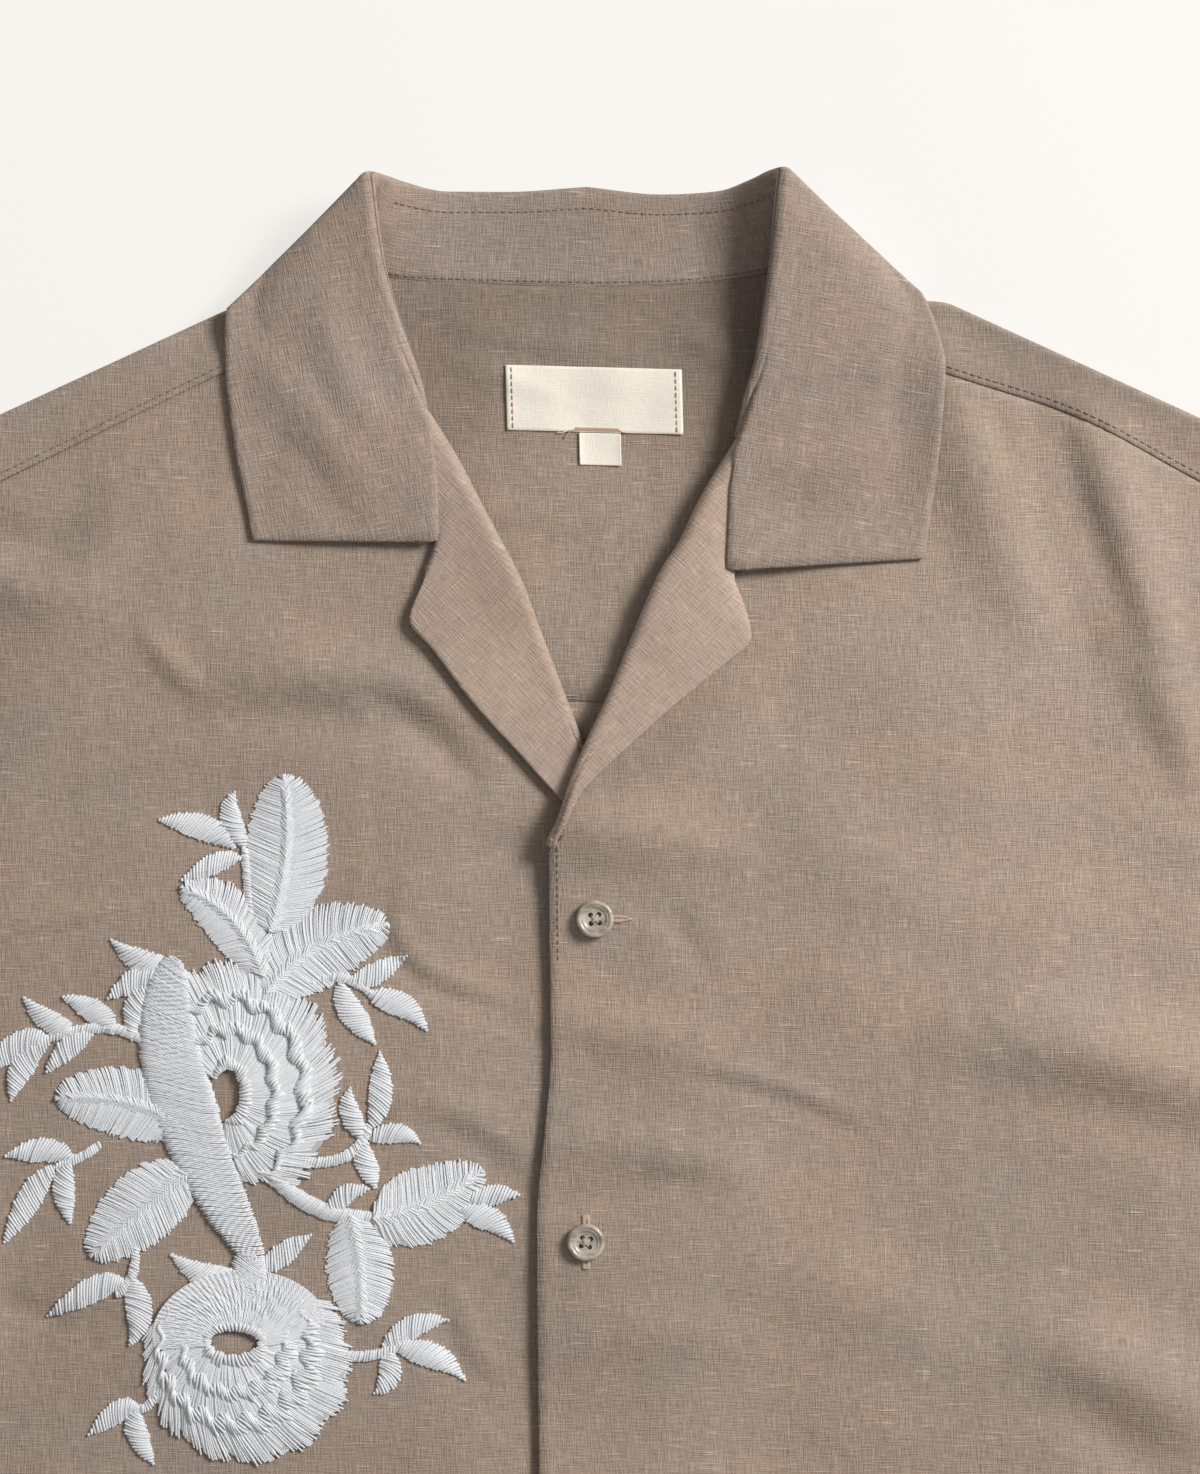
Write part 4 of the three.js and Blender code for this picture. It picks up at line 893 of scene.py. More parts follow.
def button_mesh():
    sides, hole = BUTTON["sides"], BUTTON_HOLES
    angle = np.linspace(0, 2 * math.pi, sides, endpoint=False)
    rings = BUTTON_PROFILE[1:-1]
    verts = [(*spot, z) for r, z in rings for spot in ring_points(angle, r)]
    verts = [(0, 0, 0), *verts, (0, 0, BUTTON_PROFILE[-1][1])]
    faces = [(0, 1 + (k + 1) % sides, 1 + k) for k in range(sides)]
    for ring in range(len(rings) - 1):
        faces += ring_wall(1 + ring * sides, sides)
    base, top = 1 + (len(rings) - 1) * sides, len(verts) - 1
    faces += [(base + k, base + (k + 1) % sides, top) for k in range(sides)]
    disc = add_object("button", np.array(verts) * MM, faces)
    verts, faces = [], []
    for sx, sy in ((1, 1), (1, -1), (-1, 1), (-1, -1)):
        ring = ring_points(angle[::4], hole["radius"], sx * hole["spread"], sy * hole["spread"])
        base, count = len(verts), len(ring)
        verts += [(x, y, z) for z in (-1, 3) for x, y in ring]
        faces += [tuple(range(base + count - 1, base - 1, -1)), tuple(range(base + count, base + 2 * count))]
        faces += ring_wall(base, count)
    drill = add_object("drill", np.array(verts) * MM, faces)
    cut = disc.modifiers.new("holes", "BOOLEAN")
    cut.object, cut.operation, cut.solver = drill, "DIFFERENCE", "EXACT"
    bpy.context.view_layer.update()
    mesh = bpy.data.meshes.new_from_object(disc.evaluated_get(bpy.context.evaluated_depsgraph_get()))
    mesh.polygons.foreach_set("use_smooth", [True] * len(mesh.polygons))
    mesh.set_sharp_from_angle(angle=math.radians(40))
    for unused in (disc, drill):
        bpy.data.objects.remove(unused)
    return mesh


def button_spot(i):
    """Where a button's back is, above the lifted left front."""
    x, drop, turn = BUTTONS[i]
    around = np.linspace(0, 2 * math.pi, 12, endpoint=False)
    px, pd = x + BUTTON["radius"] * np.cos(around), drop + BUTTON["radius"] * np.sin(around)
    level = float(np.max(front_level(SIDES["left"], px, pd))) + SHELL["front"] / 2 + 0.1
    return x, drop, level, math.radians(turn)


def button_threads(i):
    """Two sewing threads, each two strands wide, crossing between the four holes."""
    x, drop, level, turn = button_spot(i)
    runs = []
    for way in (1, -1):
        for strand in (-0.2, 0.2):
            t = np.linspace(-1, 1, 9)
            along = 0.84 * t * BUTTON_HOLES["spread"] * math.sqrt(2)
            angle = turn + way * math.pi / 4
            px = x + along * math.cos(angle) - strand * math.sin(angle)
            py = LENGTH / 2 - drop + along * math.sin(angle) + strand * math.cos(angle)
            z = level + 1.2 + (0.62 + 0.3 * (way > 0)) * (1 - t ** 4) - 0.9 * (np.abs(t) > 0.95)
            runs.append(np.stack([px, py, z], axis=1) * MM)
    return runs


# ---------------------------------------------------------------- embroidery

PAD = {"rim": 0.4, "rib": 1.2, "clear": 0.1}
LEAF_SHAPES = {
    # power and skew of the outline; how far threads lean forward; how ragged the edge is;
    # thread pitch
    "broad": (0.45, 0.9, 0.36, 0.8, 0.52), "bract": (0.45, 0.95, 0.6, 0.5, 0.6),
    "small": (0.95, 0.85, 0.5, 0.55, 0.98), "stem": (0.15, 1, 0.35, 0.35, 0.82),
}
# shape, root, middle and tip of the spine as x and drop, width
LEAVES = [
    ("broad", -99, 238, -94, 213, -95, 189, 25.5), ("broad", -101, 252, -111, 234, -127, 224, 17),
    ("broad", -100, 257, -85, 243, -62, 236, 24), ("broad", -126, 299, -144, 291, -166, 290, 21),
    ("broad", -125, 313, -139, 324, -155, 339, 22), ("broad", -67, 327, -51, 323, -33, 312, 23),
    ("broad", -74, 326, -71, 344, -71, 360, 20), ("bract", -128, 246, -127, 288, -103, 342, 20),
    ("bract", -104, 338, -105, 346, -103, 354, 12), ("small", -104, 343, -95, 339, -86, 332, 7),
    ("small", -106, 346, -118, 347, -130, 338, 8), ("stem", -105, 234, -106, 222, -107, 212, 2.4),
    ("stem", -86, 254, -77, 252, -68, 257, 2.6), ("stem", -126, 252, -131, 249, -136, 252, 3),
    ("stem", -133, 277, -148, 268, -170, 272, 3), ("stem", -152, 304, -158, 308, -166, 311, 2.6),
    ("stem", -92, 309, -76, 308, -68, 298, 3), ("stem", -99, 313, -84, 324, -66, 327, 5),
    ("stem", -141, 336, -142, 345, -147, 351, 2.6), ("stem", -78, 369, -69, 370, -58, 367, 3),
    ("stem", -134, 381, -138, 386, -143, 386, 2.6), ("small", -110, 212, -121, 203, -134, 203, 8),
    ("small", -107, 212, -113, 203, -110, 194, 7), ("small", -108, 215, -117, 216, -127, 222, 6.5),
    ("small", -75, 253, -66, 252, -56, 245, 7), ("small", -69, 257, -58, 259, -50, 269, 8),
    ("small", -77, 253, -74, 265, -66, 273, 8), ("small", -129, 250, -137, 249, -149, 240, 8),
    ("small", -131, 251, -141, 251, -150, 259, 7.5), ("small", -136, 254, -143, 262, -142, 272, 7),
    ("small", -148, 270, -153, 261, -164, 258, 7.5), ("small", -160, 270, -167, 267, -176, 258, 7),
    ("small", -154, 270, -163, 273, -169, 282, 7), ("small", -167, 271, -178, 278, -180, 291, 8),
    ("small", -168, 271, -180, 272, -189, 283, 8), ("small", -160, 309, -171, 304, -182, 308, 7.5),
    ("small", -166, 311, -175, 321, -182, 335, 8), ("small", -161, 309, -165, 319, -161, 329, 7),
    ("small", -68, 299, -63, 287, -65, 275, 7.5), ("small", -70, 303, -75, 295, -74, 286, 6.5),
    ("small", -69, 302, -60, 299, -52, 304, 6.5), ("small", -69, 303, -70, 311, -66, 318, 7),
    ("small", -38, 321, -31, 320, -21, 320, 6.5), ("small", -40, 324, -31, 326, -23, 335, 8),
    ("small", -82, 325, -76, 319, -68, 318, 6), ("small", -144, 347, -155, 348, -169, 358, 8),
    ("small", -142, 345, -138, 356, -143, 367, 8.5), ("small", -64, 367, -56, 360, -43, 359, 7),
    ("small", -60, 367, -49, 368, -38, 378, 8), ("small", -62, 368, -60, 376, -67, 382, 7),
    ("small", -140, 386, -147, 386, -156, 395, 7), ("small", -140, 386, -142, 395, -135, 404, 7),
]
# centre, radii of the inner and the outer edge, slide of the outer edge, bearings, lobes
RUFFLES = [
    ("ruffle", -112, 288, 23, 29, 33, 37, 0, -2, -64, 128, 7),
    ("ruffle", -112, 288, 14, 19, 24.5, 30, 0, -1, -84, 136, 6),
    ("ruffle", -112, 288, 4.6, 8.4, 15.5, 20, 0, 0, -100, 150, 4),
    ("ruffle", -110, 366, 23, 24, 31, 30, 4, 6, 148, 397, 9),
    ("ruffle", -110, 366, 15.5, 14.5, 24.5, 22.5, 2, 3, 160, 386, 7),
    ("ruffle", -110, 366, 8, 4.4, 17, 14.5, 1, 1, 166, 374, 5),
    ("cap", -110, 366, 8.6, 4.8, 28, 21, 3, -1, -8, 188, 1),
]
THREAD_RADIUS = {"satin": 0.33, "rib": 0.46, "crossed": 0.5}
RIM_DIP = 0.25
FANNED, CROSSED = ("broad", "bract"), ("small", "stem")


def on_cloth(x, drop, height):
    """A place above the right front, as a point."""
    return points(x, drop, front_level(SIDES["right"], x, drop) + SHELL["front"] / 2 + PAD["clear"] + height)


def leaf_length(leaf):
    x1, d1, x2, d2, x3, d3 = leaf[1:7]
    return math.hypot(x2 - x1, d2 - d1) + math.hypot(x3 - x2, d3 - d2)


def on_leaf(leaf, t, across, height):
    """A place on a leaf: t along its bent spine and across it in millimetres."""
    x1, d1, x2, d2, x3, d3 = leaf[1:7]
    bow = 0.6 if leaf[0] == "small" else 1.0
    bend_x = (x1 + x3) / 2 + 2 * bow * (x2 - (x1 + x3) / 2)
    bend_d = (d1 + d3) / 2 + 2 * bow * (d2 - (d1 + d3) / 2)
    t = np.asarray(t, float)
    x = (1 - t) ** 2 * x1 + 2 * t * (1 - t) * bend_x + t * t * x3
    drop = (1 - t) ** 2 * d1 + 2 * t * (1 - t) * bend_d + t * t * d3
    way_x, way_d = (1 - t) * (bend_x - x1) + t * (x3 - bend_x), (1 - t) * (bend_d - d1) + t * (d3 - bend_d)
    size = np.hypot(way_x, way_d)
    return on_cloth(x + across * way_d / size, drop - across * way_x / size, height)


def leaf_half(leaf, t):
    power, skew = LEAF_SHAPES[leaf[0]][:2]
    return np.maximum(leaf[7] / 2 * np.sin(math.pi * np.clip(t, 0, 1) ** skew) ** power, 0.25)


def leaf_pad(leaf):
    """Ground stitching below the satin threads: rows of points across the leaf."""
    t = np.linspace(0, 1, 17)[:, None]
    across = np.linspace(-1, 1, 9)[None, :]
    half = leaf_half(leaf, t) * 0.88
    crown = np.minimum(1, 2 * half / leaf[7])
    high = 1.05 if leaf[0] == "bract" else 0.75
    return on_leaf(leaf, t, across * half, lerp(0.2, high, (1 - across ** 2) * crown))


def leaf_threads(leaf, seed):
    """Satin threads of one leaf. Broad leaves fan out from the midrib to a ragged rim, in
    uneven bundles; sprig leaves and stems are crossed from side to side."""
    rng = np.random.default_rng(seed)
    kind, length = leaf[0], leaf_length(leaf)
    lean, ragged, pitch = LEAF_SHAPES[kind][2:]
    count = max(int(length / pitch), 3)
    runs = []
    for k in range(count):
        t = (k + 0.5) / count
        half = leaf_half(leaf, t)
        if kind == "bract":
            v = np.linspace(-1, 1, 25)
            reach = half + 0.4 * rng.uniform(-1, 1)
            lift = 0.95 + 0.6 * (1 - v ** 2) ** 0.5 + 0.42 * np.abs(np.sin(math.pi * (3 * v + 0.34 * k)))
            lift = lift - 0.9 * np.abs(v) ** 12 + 0.12 * rng.uniform(-1, 1)
            slant = lean * half * (v - v ** 3 * 0.3) / length
            runs.append(on_leaf(leaf, np.clip(t + slant, 0, 1), v * reach, lift))
            continue
        if kind in CROSSED:
            v = np.linspace(-1, 1, 6)
            reach = half + ragged * rng.uniform(-0.6, 0.6)
            crown = 0.25 + 0.75 * (1 - v ** 2) * min(1, half / 2.2) + 0.2 * rng.uniform(-1, 1)
            runs.append(on_leaf(leaf, np.clip(t + lean * half * v / length, 0, 1), v * reach, crown))
            continue
        for way in (1, -1):
            end = min(t + lean * half / length, 1)
            reach = leaf_half(leaf, end) + ragged * (rng.uniform(-0.7, 0.7) + 0.5 * ((k // 4) % 2))
            v = np.linspace(0, 1, 5)
            lift = lerp(PAD["rib"], PAD["rim"], v ** 1.6) - RIM_DIP * v ** 8
            lift = lift + 0.22 * rng.uniform(-1, 1) * np.sin(math.pi * v)
            runs.append(on_leaf(leaf, lerp(t, end, v ** 1.15), way * reach * v, lift))
    return runs


def leaf_ribs(leaf, seed):
    """The raised midrib: short slanting stitches that meet like a braid."""
    rng = np.random.default_rng(seed)
    length = leaf_length(leaf)
    count = int(length * 0.9 / 1.02)
    runs = []
    for k in range(count):
        t = 0.9 * (k + 0.5) / count
        half = 2.5 * (1 - 0.45 * t) * rng.uniform(0.75, 1.15)
        for way in (1, -1):
            v = np.linspace(-0.15, 1, 4)
            high = PAD["rib"] + 0.35 + 0.12 * rng.uniform(-1, 1) - 0.55 * np.clip(v, 0, 1) ** 1.5
            runs.append(on_leaf(leaf, t + 2.0 * v / length, way * half * v, high))
    return runs


def on_ruffle(ruffle, angle, share, height, stretch=1.0):
    """A place on a ruffled ring: a bearing, and a share of the way from its inner edge out."""
    _, x, drop, inner_x, inner_d, outer_x, outer_d, slide_x, slide_d, _, _, lobes = ruffle
    grow = 1 + 0.05 * np.sin(2.3 * lobes * angle + inner_x) * min(inner_x / 10, 1)
    cos, sin = np.cos(angle), np.sin(angle)
    across = lerp(x + inner_x * grow * cos, x + slide_x + outer_x * stretch * cos, share)
    down = lerp(drop - inner_d * grow * sin, drop + slide_d - outer_d * stretch * sin, share)
    return on_cloth(across, down, height)


def ruffle_lobes(ruffle, angle):
    """How far the lobed rim reaches, and how far it rises."""
    low, high, lobes = ruffle[9:12]
    share = (np.degrees(angle) - low) / (high - low)
    wave = np.abs(np.sin(math.pi * lobes * share + 0.35 * np.sin(5 * share)))
    return 0.955 + 0.085 * wave ** 0.6, 0.5 * wave


def ruffle_span(ruffle):
    low, high = math.radians(ruffle[9]), math.radians(ruffle[10])
    return low, high, (high - low) * (ruffle[5] + ruffle[6]) / 2


def ruffle_pad(ruffle):
    low, high, _ = ruffle_span(ruffle)
    angle = np.linspace(low, high, 33)[::-1, None]
    share = np.linspace(0.03, 0.9, 9)[None, :]
    stretch, rise = ruffle_lobes(ruffle, angle)
    height = 0.3 + 0.5 * np.sin(math.pi * share) ** 0.7 + rise * share * 0.6
    return on_ruffle(ruffle, angle, share, height, stretch)


def ruffle_threads(ruffle, seed):
    """Threads that run out over a ring in bundles, to a lobed and ragged rim."""
    rng = np.random.default_rng(seed)
    low, high, length = ruffle_span(ruffle)
    cap = ruffle[0] == "cap"
    count = int(length / 0.54)
    runs = []
    for k in range(count):
        angle = lerp(low, high, (k + 0.5) / count)
        stretch, rise = ruffle_lobes(ruffle, angle)
        ragged = 0.0 if cap else rng.uniform(-0.035, 0.03) + 0.022 * ((k // 4) % 2)
        v = np.linspace(0, 1, 16 if cap else 6)
        swirl = math.radians(26 if cap else 7) * v * np.clip((high - angle) / (high - low) * 4, 0, 1)
        lift = lerp(1.25, 0.35, v ** 1.5) + rise * v ** 1.2 - RIM_DIP * v ** 8
        lift = lift + 0.2 * rng.uniform(-1, 1) * np.sin(math.pi * v)
        if cap:
            lift = lift + 0.5 * v ** 0.5 + 0.42 * np.abs(np.sin(math.pi * (3.5 * v + 0.34 * k)))
        runs.append(on_ruffle(ruffle, angle + swirl, v, lift, stretch + ragged))
    return runs


def ruffle_ridges(ruffle, seed):
    """The raised inner edge: short close stitches over a cord."""
    rng = np.random.default_rng(seed)
    low, high, _ = ruffle_span(ruffle)
    near = (high - low) * (ruffle[3] + ruffle[4]) / 2
    wide = 3.2 / math.hypot(ruffle[5] - ruffle[3], 0.7 * (ruffle[6] - ruffle[4])) * 1.1
    count = int(near / 0.85)
    v = np.linspace(-0.3, 1, 5)
    runs = []
    for k in range(count):
        share = (k + 0.5) / count
        taper = min(1, 6 * share, 6 * (1 - share)) ** 0.5
        lift = 1.15 + (1.0 + 0.15 * rng.uniform(-1, 1)) * taper * (1 - ((v - 0.3) / 0.7) ** 2)
        reach = wide * v * rng.uniform(0.65, 1.15) * taper
        angle = lerp(low, high, share) + (0.06 + 0.03 * rng.uniform(-1, 1)) * v
        runs.append(on_ruffle(ruffle, angle, reach, lift))
    return runs


# ---------------------------------------------------------------- materials

def linear(*srgb):
    """An sRGB colour of 0 to 255 as a linear one."""
    share = [value / 255 for value in srgb]
    return [c / 12.92 if c <= 0.04045 else ((c + 0.055) / 1.055) ** 2.4 for c in share] + [1.0]


class Shader(Tree):
    """A node material under construction: each call adds a node and gives its output."""

    def __init__(self, name):
        self.material = bpy.data.materials.new(name)
        self.material.use_nodes = True
        super().__init__(self.material.node_tree)
        self.surface = self.tree.nodes["Principled BSDF"]

    def set(self, **values):
        for label, value in values.items():
            self.put(self.surface.inputs[label.replace("_", " ")], value)

    def math(self, operation, *values):
        return self.node("ShaderNodeMath", enumerate(values), operation=operation).outputs[0]

    def noise(self, where, stretch, detail=2.0, rough=0.5, turn=0.0, shift=0.0):
        """Noise with its own pitch across and along, in metres."""
        mapped = self.node("ShaderNodeMapping", {
            "Vector": where, "Rotation": (0, 0, turn), "Scale": [1 / pitch for pitch in stretch],
            "Location": (shift, shift * 1.7, 0),
        })
        made = self.node("ShaderNodeTexNoise", {
            "Vector": mapped.outputs[0], "Scale": 1.0, "Detail": detail, "Roughness": rough,
        }, noise_dimensions="2D" if len(stretch) == 2 else "3D")
        return made.outputs["Fac"]

    def span(self, value, low, high, to_low=0.0, to_high=1.0):
        made = self.node("ShaderNodeMapRange", {
            "Value": value, "From Min": low, "From Max": high, "To Min": to_low, "To Max": to_high,
        }, interpolation_type="SMOOTHSTEP")
        return made.outputs[0]

    def mix(self, share, low, high, blend="MIX"):
        made = self.node("ShaderNodeMix", data_type="RGBA", blend_type=blend)
        for socket, value in zip((0, 6, 7), (share, low, high)):
            self.put(made.inputs[socket], value)
        return made.outputs[2]

    def shaded(self, colour, tone):
        """A colour made darker or lighter by a tone."""
        grey = self.node("ShaderNodeCombineColor", {"Red": tone, "Green": tone, "Blue": tone}).outputs[0]
        return self.mix(1.0, colour, grey, "MULTIPLY")

    def bump(self, height, distance, strength=1.0, below=None):
        links = {"Height": height, "Distance": distance, "Strength": strength}
        if below is not None:
            links["Normal"] = below
        return self.node("ShaderNodeBump", links).outputs[0]


# pitch across and along in metres, detail, roughness, shift of the pattern, share in the tone
WEAVE = {
    "weft": (0.006, 0.00042, 0.0, 0.5, 0.0, 0.46), "warp": (0.00044, 0.005, 0.0, 0.5, 3.0, 0.42),
    "fine": (0.0005, 0.00042, 0.0, 0.5, 7.0, 0.62), "streak": (0.004, 0.12, 1.0, 0.6, 23.0, 0.15),
    "slub": (0.011, 0.00055, 0.0, 0.4, 11.0, 0.42), "upright_slub": (0.00055, 0.013, 0.0, 0.4, 17.0, 0.26),
}
# noise above the first value shows as a slub, and fully so from the second
SLUBS = {"slub": (0.66, 0.82), "upright_slub": (0.68, 0.84)}
MOTTLE = {"pitch": (0.05, 0.035, 1), "cool": (0.988, 0.992, 1.004), "warm": (1.014, 1.0, 0.985)}


def linen(name, colour, contrast=1.0):
    """Plain-woven linen: uneven threads, light slubs, faint streaks and mottling, darkened and lightened by
    painted light and shade from the tone attribute.
    """
    shader = Shader(name)
    where = shader.node("ShaderNodeUVMap").outputs[0]
    tone, seen = 1.0, {}
    for kind, (across, along, detail, rough, shift, share) in WEAVE.items():
        seen[kind] = shader.noise(where, (across, along, 1), detail, rough, 0.0, shift)
        if kind in SLUBS:
            seen[kind] = change = shader.span(seen[kind], *SLUBS[kind])
        else:
            change = shader.math("SUBTRACT", seen[kind], 0.5)
        strength = share if kind == "streak" else share * contrast
        tone = shader.math("ADD", tone, shader.math("MULTIPLY", change, strength))
    # painted light and shade, read from the tone attribute
    painted_light = shader.node("ShaderNodeAttribute", attribute_name="tone").outputs["Fac"]
    mottle = shader.noise(where, MOTTLE["pitch"], 2.0, 0.5, 0.0, 29.0)
    cool, warm = (linear(*[min(c * f, 255) for c, f in zip(colour, MOTTLE[key])]) for key in ("cool", "warm"))
    dye = shader.mix(shader.span(mottle, 0.3, 0.7), cool, warm)
    dyed_with_painted_light = shader.shaded(dye, shader.math("MULTIPLY", tone, painted_light))
    threads = shader.math("ADD", seen["weft"], seen["warp"])
    relief = shader.math("ADD", threads, shader.math("MULTIPLY", seen["slub"], 0.5))
    soft = shader.bump(shader.noise(where, (0.011, 0.011, 1), 3.0, 0.6, 0.0, 41.0), 0.0008, 0.55)
    shader.set(
        Base_Color=dyed_with_painted_light, Roughness=0.92, Specular_IOR_Level=0.12, Sheen_Weight=0.12, Sheen_Roughness=0.6,
        Normal=shader.bump(relief, 0.00022, 0.9, soft))
    return shader.material


def thread(name, colour, ply=0.0011, depth=0.00012, sheen=0.25, rough=0.5):
    """Spun thread with a little lustre, ribbed by its twist."""
    shader = Shader(name)
    where = shader.node("ShaderNodeTexCoord").outputs["Object"]
    ribs = shader.noise(where, (ply, ply * 0.35, ply), 1.0, 0.5, 0.6)
    tint = shader.noise(where, (0.006, 0.006, 0.006), 2.0, 0.5)
    dark = linear(*[c * 0.93 for c in colour])
    shader.set(Base_Color=shader.mix(tint, dark, linear(*colour)), Roughness=rough, Specular_IOR_Level=0.35,
               Normal=shader.bump(ribs, depth, 0.8), Sheen_Weight=sheen)
    return shader.material


def label_weave(name, colour):
    """Woven tape: fine close ribs and a faint shine."""
    shader = Shader(name)
    where = shader.node("ShaderNodeUVMap").outputs[0]
    ribs = shader.noise(where, (0.004, 0.00045, 1), 2.0, 0.5)
    ends = shader.noise(where, (0.00045, 0.003, 1), 2.0, 0.5, 0.0, 5.0)
    tone = shader.math("ADD", shader.math("MULTIPLY", ribs, 0.16), shader.math("MULTIPLY", ends, 0.12))
    tone = shader.math("ADD", tone, 0.86)
    relief = shader.math("ADD", ribs, ends)
    shader.set(Base_Color=shader.shaded(linear(*colour), tone), Roughness=0.62,
               Specular_IOR_Level=0.3, Normal=shader.bump(relief, 0.00012, 0.8))
    return shader.material


def pearl(name):
    """Dyed shell: cloudy bands under a polished face."""
    shader = Shader(name)
    where = shader.node("ShaderNodeTexCoord").outputs["Object"]
    clouds = shader.noise(where, (0.006, 0.0032, 0.004), 3.0, 0.6, 0.7)
    bands = shader.noise(where, (0.010, 0.0012, 0.004), 2.0, 0.5, 1.1, 4.0)
    base = shader.mix(shader.span(clouds, 0.3, 0.7), linear(142, 129, 112), linear(200, 188, 171))
    shader.set(Base_Color=shader.mix(shader.span(bands, 0.45, 0.8, 0, 0.5), base, linear(214, 206, 192)),
               Roughness=0.28, Specular_IOR_Level=0.55, Coat_Weight=0.35, Coat_Roughness=0.15)
    return shader.material


def glowing(name, colour, share):
    """A matte surface that is lit evenly from within for part of its brightness."""
    shader = Shader(name)
    dim = linear(*colour)
    shader.set(Base_Color=[c * (1 - share) for c in dim[:3]] + [1.0], Roughness=1.0, Specular_IOR_Level=0.0,
               Emission_Color=dim, Emission_Strength=share)
    return shader.material


# ---------------------------------------------------------------- putting it together

LOOKS = {
    "linen": linen("linen", (164, 147, 132)),
    "facing_linen": linen("facing_linen", (176, 156, 141), contrast=0.75),
    "collar_linen": linen("collar_linen", (164, 147, 134)),
    "embroidery": thread("embroidery_thread", (240, 241, 243)),
    "pad": thread("ground_stitching", (206, 204, 202), 0.0006),
    "seam_thread": thread("seam_thread", (136, 117, 103), 0.0008, 0.00006),
    "label_thread": thread("label_thread", (198, 164, 138), 0.0008, 0.00006),
    "hole_thread": thread("buttonhole_thread", (206, 184, 164), 0.0008, 0.00006),
    "button_thread": thread("button_thread", (226, 214, 196), 0.0008, 0.00006),
    "label": label_weave("label_weave", (244, 236, 221)),
    "pearl": pearl("button_shell"),
}


def dress(obj, look, slot, *nodes):
    """Gives a piece its finish and lets it stand for its CAD nodes."""
    if look:
        obj.data.materials.clear()
        obj.data.materials.append(LOOKS[look])
    if nodes:
        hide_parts(*nodes)
    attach(obj, "root")
    return obj


bpy.context.scene.view_settings.view_transform = "Standard"

made = make_fronts()
for key, piece in made.items():
    dress(piece, "facing_linen" if key.startswith("facing") else "linen", "linen", key)
back = dress(make_back(), "linen", "linen", "back_panel")
yoke = dress(make_yoke(), "linen", "linen", "yoke")
collar, collar_grid = make_collar()
dress(collar, "collar_linen", "linen", "collar")
sleeves = {name: dress(make_sleeve(name), "linen", "linen", f"sleeve_{name}") for name in SIDES}
tags = {name: dress(make_tag(name), "label", "label_weave", name) for name in TAGS}

THREADS, STITCHES = thread_group(), stitch_group()
shell = button_mesh()
button_runs = []
for i in range(len(BUTTONS)):
    x, drop, level, turn = button_spot(i)
    disc = shell.copy()
    verts = np.zeros(3 * len(disc.vertices), np.float32)
    disc.vertices.foreach_get("co", verts)
    verts = verts.reshape(-1, 3)
    turned = np.stack([
        verts[:, 0] * math.cos(turn) - verts[:, 1] * math.sin(turn) + x * MM,
        verts[:, 0] * math.sin(turn) + verts[:, 1] * math.cos(turn) + (LENGTH / 2 - drop) * MM,
        verts[:, 2] + level * MM,
    ], axis=1)
    disc.vertices.foreach_set("co", turned.astype(np.float32).ravel())
    disc.update()
    button = bpy.data.objects.new(f"button_{i + 1}_shell", disc)
    bpy.context.scene.collection.objects.link(button)
    dress(button, "pearl", "button_shell", f"button_{i + 1}")
    button_runs += button_threads(i)
sewing = chains("button_sewing", button_runs)
bake(sewing, THREADS, Radius=0.15 * MM, Thread=LOOKS["button_thread"])
dress(sewing, None, "embroidery_thread")

# raised satin stitch
def embroider(rows, work, kinds=None):
    """The threads of every row of a wanted kind; its place in the table seeds each row."""
    return [run for i, row in enumerate(rows) if kinds is None or row[0] in kinds for run in work(row, i)]


SATIN = {
    "leaf_threads": (embroider(LEAVES, leaf_threads, FANNED), "satin"),
    "sprig_threads": (embroider(LEAVES, leaf_threads, CROSSED), "crossed"),
    "petal_threads": (embroider(RUFFLES, ruffle_threads), "satin"),
    "midribs": (embroider(LEAVES, leaf_ribs, ("broad",)), "rib"),
    "petal_ridges": (embroider(RUFFLES, ruffle_ridges), "rib"),
}
worked = [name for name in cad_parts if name.startswith("embroidery_")]
for name, (runs, kind) in SATIN.items():
    threads = chains(name, runs)
    bake(threads, THREADS, Radius=THREAD_RADIUS[kind] * MM, Thread=LOOKS["embroidery"])
    dress(threads, None, "embroidery_thread", *(worked if name == "leaf_threads" else ()))
pad_verts, pad_faces = [], []
for rows in [leaf_pad(leaf) for leaf in LEAVES] + [ruffle_pad(ruffle) for ruffle in RUFFLES]:
    base = len(pad_verts)
    down, across = rows.shape[:2]
    pad_verts += list(rows.reshape(-1, 3))
    corners = [base + i * across + j for i in range(down - 1) for j in range(across - 1)]
    pad_faces += [(corner, corner + across, corner + across + 1, corner + 1) for corner in corners]
dress(add_object("ground_stitching", pad_verts, pad_faces), "pad", "embroidery_thread")

# ---------------------------------------------------------------- seams that show

def stitch_mesh(name, length, radius):
    """One stitch, a little thread that dips into the cloth at both ends."""
    t = np.linspace(-1, 1, 7)
    spine = np.stack([t * length / 2, 0 * t, radius * (0.9 - 1.5 * t ** 4)], axis=1)
    obj = chains(name, [spine * MM])
    return bake(obj, THREADS, Radius=radius * MM, Thread=LOOKS["seam_thread"])


def upward(grid):
    """Normals of a grid of points, all turned upwards."""
    normal = unit(np.cross(np.gradient(grid, axis=0), np.gradient(grid, axis=1)))
    return normal * np.sign(normal[..., 2:3] + 1e-9)


def along_collar(share_down, half):
    """A line on the collar's stand, at a share of the way from the roll down to the neck."""
    column = (1 - share_down) * (COLLAR_STEPS["stand"] - 2)
    low = int(column)
    line = lerp(collar_grid[:, low], collar_grid[:, low + 1], column - low)
    up = upward(collar_grid)[:, low]
    kept = (np.abs(line[:, 0]) < half * MM) & (line[:, 1] > (LENGTH / 2 - 42) * MM)
    return line[kept] + up[kept] * (SHELL["collar"] / 2 + 0.05) * MM, up[kept]


